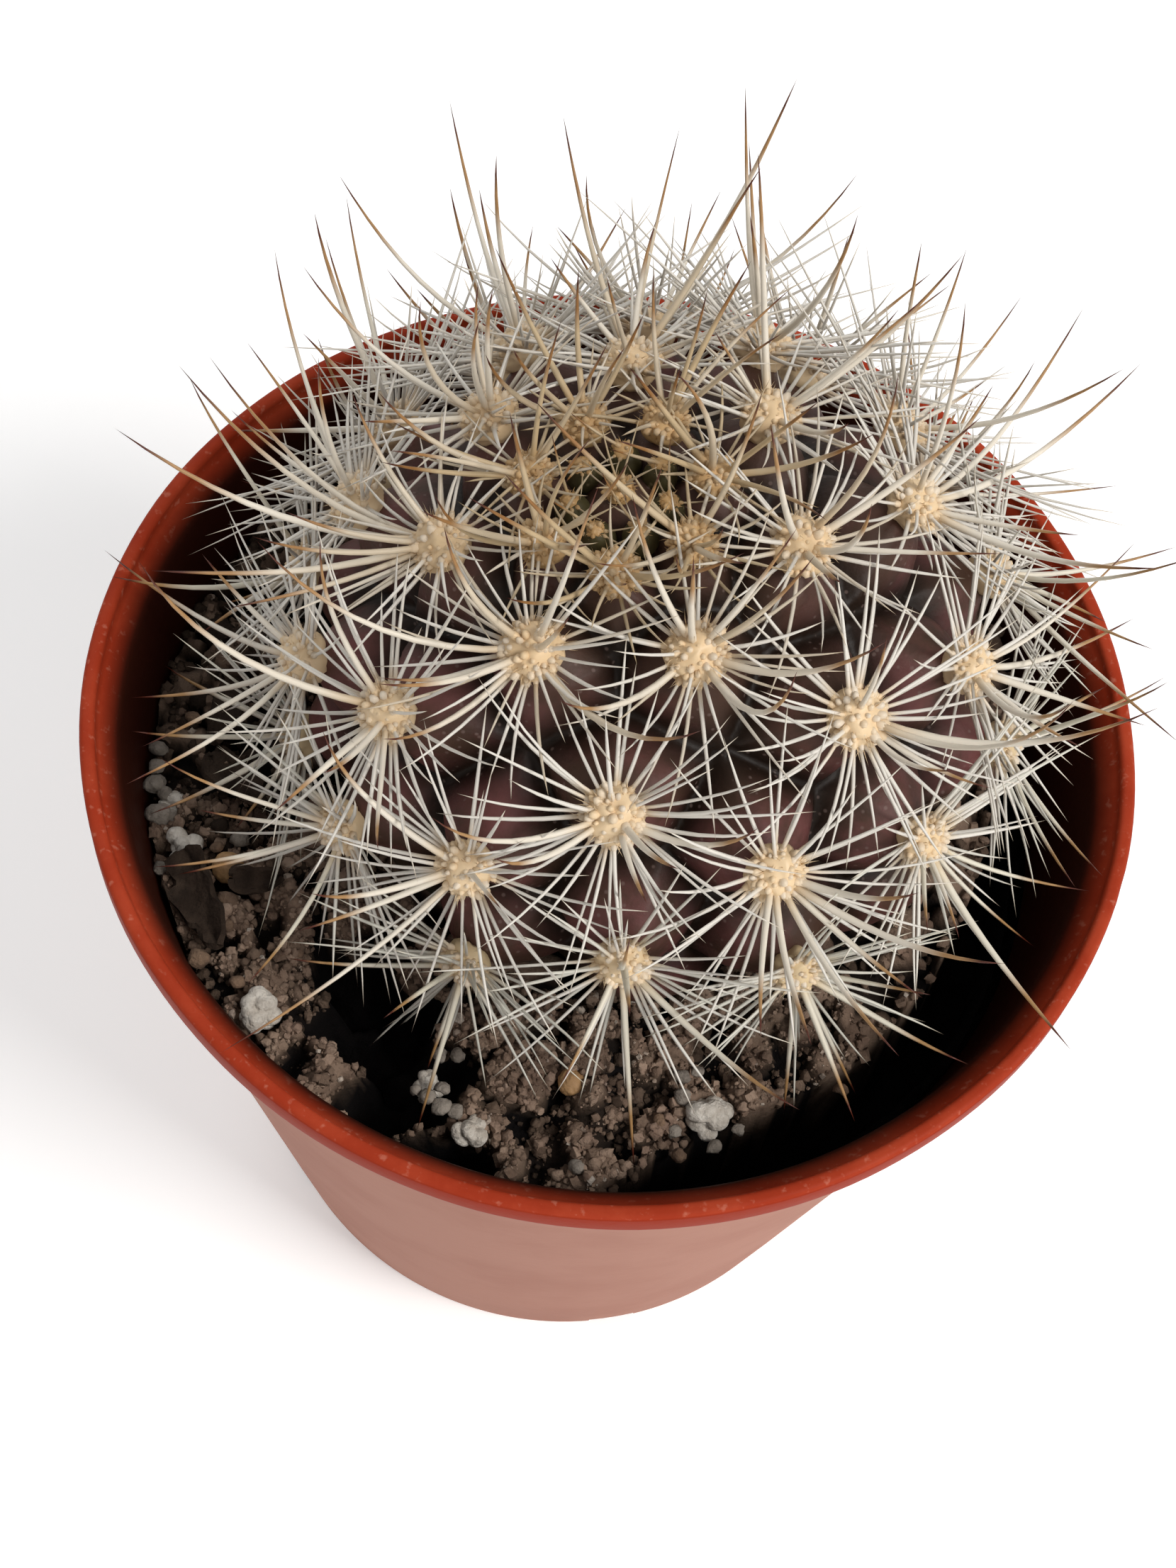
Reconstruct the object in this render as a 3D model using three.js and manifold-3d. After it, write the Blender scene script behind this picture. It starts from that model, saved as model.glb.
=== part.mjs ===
// A young round cactus in a small plastic nursery pot.
// Millimetres, +Z up. The origin is the centre of the pot's underside, on the surface it stands on.
import * as THREE from 'three';
import Module from 'manifold-3d';
import { ConvexHull } from 'three/addons/math/ConvexHull.js';
import { mergeVertices } from 'three/addons/utils/BufferGeometryUtils.js';

// Pot: a thin tapered cup with a stepped collar at the rim, a recessed underside and five drains.
const POT_HEIGHT = 47;
const RIM_RADIUS = 27.5;
const BASE_RADIUS = 19.5;
const LIP_HEIGHT = 1.8;
const LIP_OVERHANG = 1.1;
const LIP_ROUND = 0.25;
const RIM_WIDTH = 0.8;
const COLLAR_STEP = 0.9;
const WALL = 0.85;
const FLOOR_TOP = 1.6;
const FLOOR_BEVEL = 0.8;
const FOOT_RECESS = 0.7;
const FOOT_RING_INNER = 16.4;
const CENTRE_PAD_RADIUS = 7;
const DRAIN_COUNT = 5;
const DRAIN_RADIUS = 2;
const DRAIN_CIRCLE = 11.8;
const DRAIN_SIDES = 12;
const NOTCH_WIDTH = 3;
const POT_SIDES = 45;

// Stem: an upright ellipsoid of tubercles whose lower part draws in to a foot in the soil.
const STEM_CENTRE = new THREE.Vector3(1.5, 2.1, 46.5);
const STEM_RADIUS = 18.2;
const STEM_HALF_HEIGHT = 17;
const STEM_DRAWN_IN = 0.36;
const DRAWN_IN_FROM = THREE.MathUtils.degToRad(88);
const DRAWN_IN_TO = THREE.MathUtils.degToRad(138);
const STEM_LEAN = new THREE.Euler(THREE.MathUtils.degToRad(0.8), THREE.MathUtils.degToRad(-9), 0);
const FIRST_TURN = THREE.MathUtils.degToRad(17.2);
const PER_RING = 7;
const TUBERCLE_HEIGHT = 3.3;
const DOME_POWER = 1.8;
const DOME_RING = 0.6;
const SAME_CORNER = THREE.MathUtils.degToRad(3);

// Rings of areoles, from the crown down: polar angle, share of the full tubercle height, wool pad
// radius, spine lengths (outer and middle) and how many of each a cluster has.
const AREOLE_RINGS = [
  { polar: 13.7, relief: 0.45, pad: 1.05, outer: 3.4, outers: 7, middle: 8, middles: 2 },
  { polar: 27.3, relief: 0.8, pad: 1.5, outer: 5.6, outers: 9, middle: 12.5, middles: 3 },
  { polar: 48.3, relief: 1, pad: 1.5, outer: 6.4, outers: 9, middle: 13, middles: 3 },
  { polar: 62.8, relief: 1, pad: 1.45, outer: 6.8, outers: 9, middle: 12.5, middles: 3 },
  { polar: 75, relief: 1, pad: 1.4, outer: 7.2, outers: 9, middle: 11, middles: 3 },
  { polar: 86.3, relief: 0.95, pad: 1.3, outer: 7.4, outers: 9, middle: 10, middles: 3 },
];
// Rings of old tubercles below them that carry no spines, with the share of the lean they keep.
const BARE_RINGS = [
  { polar: 101, relief: 0.7, lean: 1 },
  { polar: 117, relief: 0.35, lean: 0.5 },
  { polar: 138, relief: 0.1, lean: 0 },
];
const CROWN_RELIEF = 0.2;
const CROWN_PAD = 0.7;
const CROWN_SPINES = 6;
const CROWN_SPINE_LENGTH = 3.2;
const BARE_SEAT = 1.2;
const FOOT_SEAT = 2.4;
const SEAT_GAP = 0.3;
const SEAT_MARGIN = 0.1;

// Spines: three-sided needles, rooted in a pad of wool.
const PAD_SLOPE = 0.83;
const PAD_SIDES = 6;
const ROOT_RISE = 0.42;
const ROOT_OUT = 0.3;
const OUTER_ROOT = 0.15;
const MIDDLE_ROOT = 0.25;
const SPINE_SIDES = 3;
const SPINE_TAPER = 0.55;
const MIDDLE_STEPS = 3;
const SPINE_CLEARANCE = 0.12;
const PAD_CLEARANCE = 0.1;
const WALL_CLEARANCE = 0.5;
const GROUND_CLEARANCE = 0.6;
const GRAIN_CLEARANCE = 0.85;
const SPINE_TRIES = 70;
const TURN_EASE = 40;
const LIFT_EASE = 50;
const LENGTH_EASE = 0.45;
const LEAST_LIFT = 9;
const MOST_LIFT = 88;
const UPRIGHT_MARGIN = THREE.MathUtils.degToRad(5);
const SPINE_SEED = 20261128;

// Long spines that stand out, read off by hand: ring, place in the ring, turn from the way to the
// crown (degrees, to the right), lift above the pad's plane (degrees), length and bend (degrees).
const LONG_SPINES = [
  [2, 2, 205, 20, 14, 20], [2, 3, 0, 60, 9, 30],
  [2, 4, 200, 35, 15.5, 30], [2, 4, 220, 15, 15, 40], [2, 4, 225, 10, 14.5, 40],
  [2, 4, 175, 30, 13, 15], [2, 4, 165, 25, 10, 10],
  [2, 5, 240, 30, 14, 40], [2, 5, 185, 15, 9, 60], [2, 5, 5, 40, 14, 35],
  [2, 5, 290, 60, 9, 15], [2, 5, 90, 10, 12, 50],
  [2, 6, 340, 55, 9, 10], [2, 6, 105, 35, 10, 30], [2, 6, 150, 45, 11, 70], [2, 6, 235, 10, 9, 50],
  [2, 7, 70, 80, 12, 60], [2, 7, 220, 70, 7, 30],
  [3, 1, 155, 15, 15, 40], [3, 1, 140, 10, 16, 35], [3, 1, 255, 40, 14, 20], [3, 1, 0, 50, 15, 40],
  [3, 2, 335, 30, 14, 30], [3, 2, 155, 30, 14, 15], [3, 3, 200, 50, 15, 15], [3, 4, 240, 20, 11, 20],
  [3, 5, 265, 60, 15, 35], [3, 6, 90, 20, 8, 50], [3, 6, 260, 40, 11, 35], [3, 6, 240, 45, 8, 40],
  [3, 7, 145, 65, 13, 45], [3, 7, 195, 65, 7, 25],
  [4, 2, 310, 50, 15, 20], [4, 3, 230, 50, 12, 25], [4, 3, 245, 50, 13, 30],
  [4, 4, 190, 30, 10, 20], [4, 4, 225, 25, 14, 25], [4, 5, 260, 65, 9, 30],
  [4, 6, 90, 55, 8, 30], [4, 6, 115, 50, 12, 30], [4, 6, 165, 75, 12, 10], [4, 6, 210, 65, 10, 20],
  [4, 7, 125, 10, 12, 35], [4, 7, 140, 10, 11, 25],
  [5, 1, 275, 25, 14, 0], [5, 6, 170, 10, 12, 0], [5, 7, 150, 10, 11, 20], [5, 7, 165, 15, 12, 10],
  [6, 5, 165, 25, 9, 0], [6, 5, 205, 30, 9, 0], [6, 6, 165, 15, 10, 0], [6, 6, 185, 15, 9, 0],
];

// Soil: filled to well below the lip, with a gap at the wall on one side and a crack in the front.
const SOIL_LEVEL = 40.6;
const SOIL_HOLLOW = 0.7;
const SOIL_SIDES = 42;
const SOIL_STEPS = 6;
const SOIL_CLEARANCE = 0.3;
const SOIL_EDGE_DROP = 2;
const SOIL_BOTTOM_BEVEL = 1.2;
const HOLE_CLEARANCE = 0.4;
const HOLE_DROP = 1.2;
const HOLE_LEVELS = [0, 0.25, 0.6, 1];
const CLUMP_SEED = 71;
const CLUMP_COUNT = 26;
// How open the gap between soil and wall is, from 0 to 1, by the degrees round the pot from +X.
const WALL_GAP = [[0, 0.9], [30, 0.02], [272, 0.02], [292, 1], [352, 1], [360, 0.9]];
const GAP_WIDTH = 3.1;
const GAP_DEPTH = 9;
const GAP_LIP = 0.5;
const GAP_FLOOR_FALL = 0.4;
const GAP_SIDE_SLOPE = 0.15;
const CRACK = [[-10.2, -14.4], [-8.9, -18.2], [-5.5, -24.2]].map(([x, y]) => new THREE.Vector2(x, y));
const CRACK_CORE = 0.9;
const CRACK_REACH = 2.25;
const CRACK_DEPTH = 5.5;

// Loose grains on the soil: where they lie, their radius and whether they are perlite or stone.
const GRAINS = [
  { name: 'perlite_left', x: -21.4, y: -8.5, radius: 1.0, stone: false },
  { name: 'perlite_left_upper', x: -22.5, y: -5.9, radius: 0.75, stone: false },
  { name: 'perlite_front_left', x: -15.5, y: -17.0, radius: 1.2, stone: false },
  { name: 'perlite_crack', x: -6.4, y: -19.0, radius: 0.85, stone: false },
  { name: 'perlite_front', x: -4.0, y: -21.5, radius: 0.9, stone: false },
  { name: 'perlite_right', x: 7.9, y: -18.9, radius: 1.25, stone: false },
  { name: 'pebble_left', x: -18.8, y: -9.2, radius: 0.95, stone: true },
  { name: 'pebble_front', x: 0.7, y: -18.4, radius: 0.7, stone: true },
];
const GRAIN_SUNK = 0.45;
const GRAIN_SWELL = 0.08;
const GRAIN_FLATNESS = 0.85;
const GRAIN_SEED = 5;

const LOOKS = {
  pot: { color: 0xa84628, roughness: 0.45, metalness: 0 },
  soil: { color: 0x4a3a30, roughness: 0.95, metalness: 0 },
  stem: { color: 0x4d3a3d, roughness: 0.6, metalness: 0 },
  spines: { color: 0xe9dcc0, roughness: 0.55, metalness: 0 },
  crown: { color: 0xd9b36c, roughness: 0.55, metalness: 0 },
  perlite: { color: 0xd6d1c8, roughness: 0.9, metalness: 0 },
  pebble: { color: 0xb98a58, roughness: 0.7, metalness: 0 },
};

const wasm = await Module();
wasm.setup();

const { clamp, degToRad, euclideanModulo, lerp, radToDeg, smoothstep } = THREE.MathUtils;
const UP = new THREE.Vector3(0, 0, 1);

// A seeded draw of numbers from 0 to 1.
function seededDraw(seed) {
  let state = seed >>> 0;
  return () => {
    state = (state + 0x6d2b79f5) >>> 0;
    let mixed = Math.imul(state ^ (state >>> 15), state | 1);
    mixed ^= mixed + Math.imul(mixed ^ (mixed >>> 7), mixed | 61);
    return ((mixed ^ (mixed >>> 14)) >>> 0) / 4294967296;
  };
}

// A closed geometry from corner points and triangles of point numbers.
function closedGeometry(points, triangles) {
  const geometry = new THREE.BufferGeometry().setFromPoints(points);
  geometry.setIndex(triangles.flat());
  return geometry;
}

function toSolid(geometry) {
  const bare = geometry.clone();
  bare.deleteAttribute('normal');
  bare.deleteAttribute('uv');
  const merged = mergeVertices(bare, 1e-4);
  return new wasm.Manifold(new wasm.Mesh({
    numProp: 3,
    vertProperties: new Float32Array(merged.attributes.position.array),
    triVerts: new Uint32Array(merged.index.array),
  }));
}

function fromSolid(solid) {
  const mesh = solid.getMesh();
  const geometry = new THREE.BufferGeometry();
  geometry.setAttribute('position', new THREE.Float32BufferAttribute(mesh.vertProperties, 3));
  geometry.setIndex(Array.from(mesh.triVerts));
  return geometry;
}

// A skin over rings of points, all with as many points, closed by a fan on its first and last ring.
function skinOverRings(rings, firstPoint, lastPoint) {
  const sides = rings[0].length;
  const points = [firstPoint, ...rings.flat(), lastPoint];
  const last = points.length - 1;
  const at = (ring, side) => 1 + ring * sides + (side % sides);
  const triangles = [];
  for (let side = 0; side < sides; side += 1) {
    triangles.push([0, at(0, side), at(0, side + 1)]);
    triangles.push([last, at(rings.length - 1, side + 1), at(rings.length - 1, side)]);
    for (let ring = 0; ring + 1 < rings.length; ring += 1) {
      triangles.push([at(ring, side), at(ring + 1, side), at(ring, side + 1)]);
      triangles.push([at(ring, side + 1), at(ring + 1, side), at(ring + 1, side + 1)]);
    }
  }
  return closedGeometry(points, triangles);
}

// Pot.
const LIP_UNDERSIDE = POT_HEIGHT - LIP_HEIGHT;
const NECK_RADIUS = RIM_RADIUS - LIP_OVERHANG;

function innerWallRadius(z) {
  const outer = lerp(BASE_RADIUS, NECK_RADIUS, z / LIP_UNDERSIDE);
  return outer - WALL;
}

function makePot() {
  const lipInner = RIM_RADIUS - RIM_WIDTH;
  const bevelTop = FLOOR_TOP + FLOOR_BEVEL;
  const profile = [
    [0, 0],
    [CENTRE_PAD_RADIUS, 0],
    [CENTRE_PAD_RADIUS + FOOT_RECESS / 2, FOOT_RECESS],
    [FOOT_RING_INNER - FOOT_RECESS / 2, FOOT_RECESS],
    [FOOT_RING_INNER, 0],
    [BASE_RADIUS - LIP_ROUND, 0],
    [BASE_RADIUS, LIP_ROUND],
    [NECK_RADIUS, LIP_UNDERSIDE],
    [RIM_RADIUS - LIP_ROUND, LIP_UNDERSIDE],
    [RIM_RADIUS, LIP_UNDERSIDE + LIP_ROUND],
    [RIM_RADIUS, POT_HEIGHT - LIP_ROUND],
    [RIM_RADIUS - LIP_ROUND, POT_HEIGHT],
    [lipInner + LIP_ROUND, POT_HEIGHT],
    [lipInner, POT_HEIGHT - LIP_ROUND],
    [lipInner, LIP_UNDERSIDE + COLLAR_STEP],
    [innerWallRadius(LIP_UNDERSIDE), LIP_UNDERSIDE],
    [innerWallRadius(bevelTop), bevelTop],
    [innerWallRadius(FLOOR_TOP) - FLOOR_BEVEL, FLOOR_TOP],
    [0, FLOOR_TOP],
  ].map(([radius, height]) => new THREE.Vector2(radius, height));
  let pot = toSolid(new THREE.LatheGeometry(profile, POT_SIDES).rotateX(Math.PI / 2));
  for (let drain = 0; drain < DRAIN_COUNT; drain += 1) {
    const turn = (2 * Math.PI * drain) / DRAIN_COUNT;
    const hole = new THREE.CylinderGeometry(DRAIN_RADIUS, DRAIN_RADIUS, 4 * FLOOR_TOP, DRAIN_SIDES);
    hole.rotateX(Math.PI / 2).translate(DRAIN_CIRCLE, 0, 0).rotateZ(turn);
    const notchLength = BASE_RADIUS - DRAIN_CIRCLE + DRAIN_RADIUS;
    const notch = new THREE.BoxGeometry(notchLength, NOTCH_WIDTH, 2 * FOOT_RECESS);
    notch.translate(DRAIN_CIRCLE + notchLength / 2, 0, 0).rotateZ(turn);
    pot = pot.subtract(toSolid(hole)).subtract(toSolid(notch));
  }
  return fromSolid(pot);
}

// Stem. Every place on it is a direction from its centre and a depth under its outer form.
function outerForm(direction) {
  const polar = Math.acos(clamp(direction.z, -1, 1));
  const drawnIn = 1 - STEM_DRAWN_IN * smoothstep(polar, DRAWN_IN_FROM, DRAWN_IN_TO);
  return new THREE.Vector3(
    direction.x * STEM_RADIUS * drawnIn,
    direction.y * STEM_RADIUS * drawnIn,
    direction.z * STEM_HALF_HEIGHT,
  ).add(STEM_CENTRE);
}

function stemPoint(direction, depth) {
  const outer = outerForm(direction);
  const inward = STEM_CENTRE.clone().sub(outer).normalize();
  return outer.addScaledVector(inward, depth);
}

function outerNormal(direction) {
  const step = 1e-3;
  const side = new THREE.Vector3(-direction.y, direction.x, 0);
  if (side.lengthSq() < 1e-9) side.set(1, 0, 0);
  side.normalize();
  const along = new THREE.Vector3().crossVectors(direction, side).normalize();
  const shifted = (way) => outerForm(direction.clone().addScaledVector(way, step).normalize());
  const here = outerForm(direction);
  const normal = shifted(side).sub(here).cross(shifted(along).sub(here)).normalize();
  return normal.dot(direction) < 0 ? normal.negate() : normal;
}

function ringDirection(polarDegrees, ring, place, lean) {
  const polar = degToRad(polarDegrees);
  const turn = FIRST_TURN + (2 * Math.PI * (place + 0.5 * (ring % 2))) / PER_RING;
  const leaning = new THREE.Euler(STEM_LEAN.x * lean, STEM_LEAN.y * lean, 0);
  const across = Math.sin(polar);
  return new THREE.Vector3(across * Math.cos(turn), across * Math.sin(turn), Math.cos(polar))
    .applyEuler(leaning);
}

function makeCells() {
  const crown = UP.clone().applyEuler(STEM_LEAN);
  const cells = [{ name: 'crown_tuft', direction: crown, relief: CROWN_RELIEF, seat: CROWN_PAD }];
  AREOLE_RINGS.forEach((row, ring) => {
    for (let place = 0; place < PER_RING; place += 1) {
      const direction = ringDirection(row.polar, ring, place, 1);
      const name = `spine_cluster_${ring + 1}_${place + 1}`;
      cells.push({ name, direction, relief: row.relief, seat: row.pad - SEAT_MARGIN, ring, place, row });
    }
  });
  BARE_RINGS.forEach((row, step) => {
    for (let place = 0; place < PER_RING; place += 1) {
      const direction = ringDirection(row.polar, AREOLE_RINGS.length + step, place, row.lean);
      cells.push({ direction, relief: row.relief, seat: BARE_SEAT });
    }
  });
  cells.push({ direction: UP.clone().negate(), relief: 0, seat: FOOT_SEAT });
  return cells.map((cell) => ({ ...cell, frame: tangentFrame(outerNormal(cell.direction)) }));
}

// The corners where cells meet, in the middles of the hull's triangles. Close ones are one corner.
function cellCorners(tips) {
  const corners = [];
  new ConvexHull().setFromPoints(tips).faces.forEach((face) => {
    const around = [face.edge, face.edge.next, face.edge.next.next];
    const owners = around.map((edge) => tips.indexOf(edge.head().point));
    const same = corners.find((corner) => corner.direction.angleTo(face.normal) < SAME_CORNER);
    if (same) {
      same.owners = [...new Set([...same.owners, ...owners])];
    } else {
      corners.push({ owners, direction: face.normal.clone() });
    }
  });
  return corners;
}

// Each cell's border, with one more point in the middle of each edge.
function cellBorders(cells) {
  const corners = cellCorners(cells.map((cell) => cell.direction.clone()));
  return cells.map((cell, index) => {
    const { right, up } = tangentFrame(cell.direction);
    const angleOf = (way) => Math.atan2(way.dot(right), way.dot(up));
    const own = corners.filter((corner) => corner.owners.includes(index));
    own.sort((a, b) => angleOf(b.direction) - angleOf(a.direction));
    const border = [];
    own.forEach((corner, step) => {
      const next = own[(step + 1) % own.length];
      const shared = corner.owners.filter((owner) => next.owners.includes(owner));
      border.push({ owners: corner.owners, direction: corner.direction });
      const middle = corner.direction.clone().add(next.direction).normalize();
      border.push({ owners: shared, direction: middle });
    });
    return border.map((point) => ({ ...point, angle: angleOf(point.direction) }));
  });
}

// Right and up across a direction, with up the way to the top.
function tangentFrame(normal) {
  const up = UP.clone().addScaledVector(normal, -normal.z);
  if (up.lengthSq() < 1e-3) up.set(0, 1, 0);
  up.normalize();
  const right = new THREE.Vector3().crossVectors(up, normal).normalize();
  return { normal, up, right };
}

function makeStem(cells, borders) {
  const points = [];
  const triangles = [];
  const known = new Map();
  const addPoint = (point) => points.push(point) - 1;
  const reliefOf = (owners) => {
    const total = owners.reduce((sum, owner) => sum + cells[owner].relief, 0);
    return total / owners.length;
  };
  const addBorder = ({ owners, direction }) => {
    const key = [...owners].sort((a, b) => a - b).join(' ');
    if (!known.has(key)) {
      known.set(key, addPoint(stemPoint(direction, reliefOf(owners) * TUBERCLE_HEIGHT)));
    }
    return known.get(key);
  };
  cells.forEach((cell, index) => {
    const border = borders[index];
    const tip = outerForm(cell.direction);
    const seat = border.map(({ angle }) => addPoint(tip.clone()
      .addScaledVector(cell.frame.right, cell.seat * Math.sin(angle))
      .addScaledVector(cell.frame.up, cell.seat * Math.cos(angle))));
    const dome = () => border.map(({ owners, direction }) => {
      const way = cell.direction.clone().lerp(direction, DOME_RING).normalize();
      return addPoint(stemPoint(way, reliefOf(owners) * TUBERCLE_HEIGHT * DOME_RING ** DOME_POWER));
    });
    const edge = border.map(addBorder);
    const rings = cell.name ? [seat, dome(), edge] : [seat, edge];
    const count = border.length;
    for (let step = 0; step < count; step += 1) {
      const next = (step + 1) % count;
      if (step > 0 && next > 0) triangles.push([seat[0], seat[step], seat[next]]);
      for (let ring = 0; ring + 1 < rings.length; ring += 1) {
        const [inside, outside] = [rings[ring], rings[ring + 1]];
        triangles.push([inside[step], outside[step], inside[next]]);
        triangles.push([inside[next], outside[step], outside[next]]);
      }
    }
  });
  return closedGeometry(points, triangles);
}

// Soil.
function stemRadiusAt(z) {
  const cosine = clamp((z - STEM_CENTRE.z) / STEM_HALF_HEIGHT, -1, 1);
  const direction = new THREE.Vector3(Math.sqrt(1 - cosine * cosine), 0, cosine);
  return outerForm(direction).x - STEM_CENTRE.x;
}

const clumpDraw = seededDraw(CLUMP_SEED);
const CLUMPS = Array.from({ length: CLUMP_COUNT }, () => {
  const turn = 2 * Math.PI * clumpDraw();
  const distance = lerp(15, 24, clumpDraw());
  return {
    place: new THREE.Vector2(distance * Math.cos(turn), distance * Math.sin(turn)),
    radius: lerp(1.6, 3.2, clumpDraw()),
    height: lerp(0.5, 1.5, clumpDraw()),
  };
});

function distanceToCrack(place) {
  let nearest = Infinity;
  for (let leg = 0; leg + 1 < CRACK.length; leg += 1) {
    const start = CRACK[leg];
    const along = CRACK[leg + 1].clone().sub(start);
    const share = clamp(place.clone().sub(start).dot(along) / along.lengthSq(), 0, 1);
    nearest = Math.min(nearest, place.distanceTo(start.clone().addScaledVector(along, share)));
  }
  return nearest;
}

function wallGap(turn) {
  const degrees = euclideanModulo(radToDeg(turn), 360);
  const next = Math.max(1, WALL_GAP.findIndex(([until]) => until >= degrees));
  const [from, before] = WALL_GAP[next - 1];
  const [until, after] = WALL_GAP[next];
  return lerp(before, after, smoothstep(degrees, from, until));
}

function soilHeight(x, y) {
  const place = new THREE.Vector2(x, y);
  const rises = CLUMPS.map((clump) => {
    const share = Math.min(1, place.distanceTo(clump.place) / clump.radius);
    return clump.height * Math.sqrt(1 - share * share);
  });
  const crack = 1 - smoothstep(distanceToCrack(place), CRACK_CORE, CRACK_REACH);
  return SOIL_LEVEL - SOIL_HOLLOW + Math.max(...rises) - CRACK_DEPTH * crack;
}

// A ring of the soil's skin, from a rule for the point at each way round.
function soilRing(pointAt) {
  return Array.from({ length: SOIL_SIDES }, (_, side) => {
    const turn = (2 * Math.PI * side) / SOIL_SIDES;
    return pointAt({ side, turn, way: new THREE.Vector2(Math.cos(turn), Math.sin(turn)) });
  });
}

function wallRing(z, inset) {
  const radius = innerWallRadius(z) - SOIL_CLEARANCE - inset;
  return soilRing(({ way }) => new THREE.Vector3(radius * way.x, radius * way.y, z));
}

function holeRing(z) {
  const radius = Math.max(stemRadiusAt(z), FOOT_SEAT) + HOLE_CLEARANCE;
  return soilRing(({ way }) => new THREE.Vector3(
    STEM_CENTRE.x + radius * way.x,
    STEM_CENTRE.y + radius * way.y,
    z,
  ));
}

function soilEdge({ turn, way }) {
  const gap = wallGap(turn);
  const widest = innerWallRadius(SOIL_LEVEL);
  const drop = Math.min(SOIL_EDGE_DROP, GAP_LIP + GAP_DEPTH * gap);
  const lowest = soilHeight(widest * way.x, widest * way.y) - drop;
  const radius = innerWallRadius(lowest) - SOIL_CLEARANCE - GAP_SIDE_SLOPE - GAP_WIDTH * gap;
  return way.clone().multiplyScalar(radius);
}

function makeSoil(grainSockets) {
  const holeBottom = STEM_CENTRE.z - STEM_HALF_HEIGHT - HOLE_CLEARANCE;
  const rings = HOLE_LEVELS.map((share) => holeRing(lerp(holeBottom, SOIL_LEVEL - HOLE_DROP, share)));
  const rim = rings[rings.length - 1];
  for (let step = 1; step <= SOIL_STEPS; step += 1) {
    rings.push(soilRing((round) => {
      const edge = soilEdge(round);
      const x = lerp(rim[round.side].x, edge.x, step / SOIL_STEPS);
      const y = lerp(rim[round.side].y, edge.y, step / SOIL_STEPS);
      return new THREE.Vector3(x, y, soilHeight(x, y));
    }));
  }
  const edge = rings[rings.length - 1];
  const gapFloor = ({ side, turn }) => edge[side].z - GAP_LIP - GAP_DEPTH * wallGap(turn);
  rings.push(soilRing((round) => {
    const { x, y } = edge[round.side];
    const { way } = round;
    return new THREE.Vector3(x + GAP_SIDE_SLOPE * way.x, y + GAP_SIDE_SLOPE * way.y, gapFloor(round));
  }));
  rings.push(soilRing((round) => {
    const z = gapFloor(round) - GAP_FLOOR_FALL;
    const radius = innerWallRadius(z) - SOIL_CLEARANCE;
    return new THREE.Vector3(radius * round.way.x, radius * round.way.y, z);
  }));
  rings.push(wallRing(FLOOR_TOP + SOIL_BOTTOM_BEVEL, 0), wallRing(FLOOR_TOP, FLOOR_BEVEL));
  const foot = new THREE.Vector3(STEM_CENTRE.x, STEM_CENTRE.y, holeBottom);
  const skin = skinOverRings(rings, foot, new THREE.Vector3(0, 0, FLOOR_TOP));
  return grainSockets.reduce((soil, socket) => soil.subtract(toSolid(socket)), toSolid(skin));
}

// Grains: knobbly lumps, each in a socket of the soil that is a little wider.
function grainCentre({ x, y, radius }) {
  return new THREE.Vector3(x, y, soilHeight(x, y) + radius * (1 - 2 * GRAIN_SUNK));
}

function makeGrain(grain, seed, margin) {
  const draw = seededDraw(seed);
  const ball = new THREE.IcosahedronGeometry(1, 1).deleteAttribute('uv').deleteAttribute('normal');
  const lump = mergeVertices(ball, 1e-3);
  const centre = grainCentre(grain);
  const position = lump.attributes.position;
  const corner = new THREE.Vector3();
  for (let index = 0; index < position.count; index += 1) {
    const swell = lerp(1 - GRAIN_SWELL, 1 + GRAIN_SWELL, draw());
    corner.fromBufferAttribute(position, index).multiplyScalar(grain.radius * swell + margin);
    corner.z *= GRAIN_FLATNESS;
    corner.add(centre);
    position.setXYZ(index, corner.x, corner.y, corner.z);
  }
  return lump;
}

// Spines.
function spinePath(root, direction, towards, bend, length, steps) {
  const path = [root.clone()];
  const heading = direction.clone();
  const turning = new THREE.Vector3().crossVectors(direction, towards).normalize();
  const most = Math.max(0, direction.angleTo(towards) - UPRIGHT_MARGIN);
  const turnStep = Math.min(degToRad(bend), most) / steps;
  for (let step = 0; step < steps; step += 1) {
    heading.applyAxisAngle(turning, step === 0 ? turnStep / 2 : turnStep);
    path.push(path[step].clone().addScaledVector(heading, length / steps));
  }
  return path;
}

function makeSpine(path, rootRadius) {
  const rings = [];
  for (let step = 0; step + 1 < path.length; step += 1) {
    const heading = path[step + 1].clone().sub(path[step]).normalize();
    const frame = tangentFrame(heading);
    const radius = rootRadius * (1 - SPINE_TAPER * (step / (path.length - 1)));
    rings.push(Array.from({ length: SPINE_SIDES }, (_, side) => {
      const turn = (2 * Math.PI * side) / SPINE_SIDES;
      return path[step].clone()
        .addScaledVector(frame.right, radius * Math.cos(turn))
        .addScaledVector(frame.up, radius * Math.sin(turn));
    }));
  }
  const points = [...rings.flat(), path[path.length - 1]];
  const tip = points.length - 1;
  const triangles = [[0, 2, 1]];
  for (let ring = 0; ring < rings.length; ring += 1) {
    for (let side = 0; side < SPINE_SIDES; side += 1) {
      const next = (side + 1) % SPINE_SIDES;
      const here = ring * SPINE_SIDES;
      const there = here + SPINE_SIDES;
      if (ring + 1 === rings.length) {
        triangles.push([here + side, here + next, tip]);
      } else {
        triangles.push([here + side, here + next, there + side]);
        triangles.push([here + next, there + next, there + side]);
      }
    }
  }
  const geometry = closedGeometry(points, triangles);
  const solid = toSolid(geometry);
  if (solid.volume() > 0) return solid;
  return toSolid(closedGeometry(points, triangles.map(([a, b, c]) => [a, c, b])));
}

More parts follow.
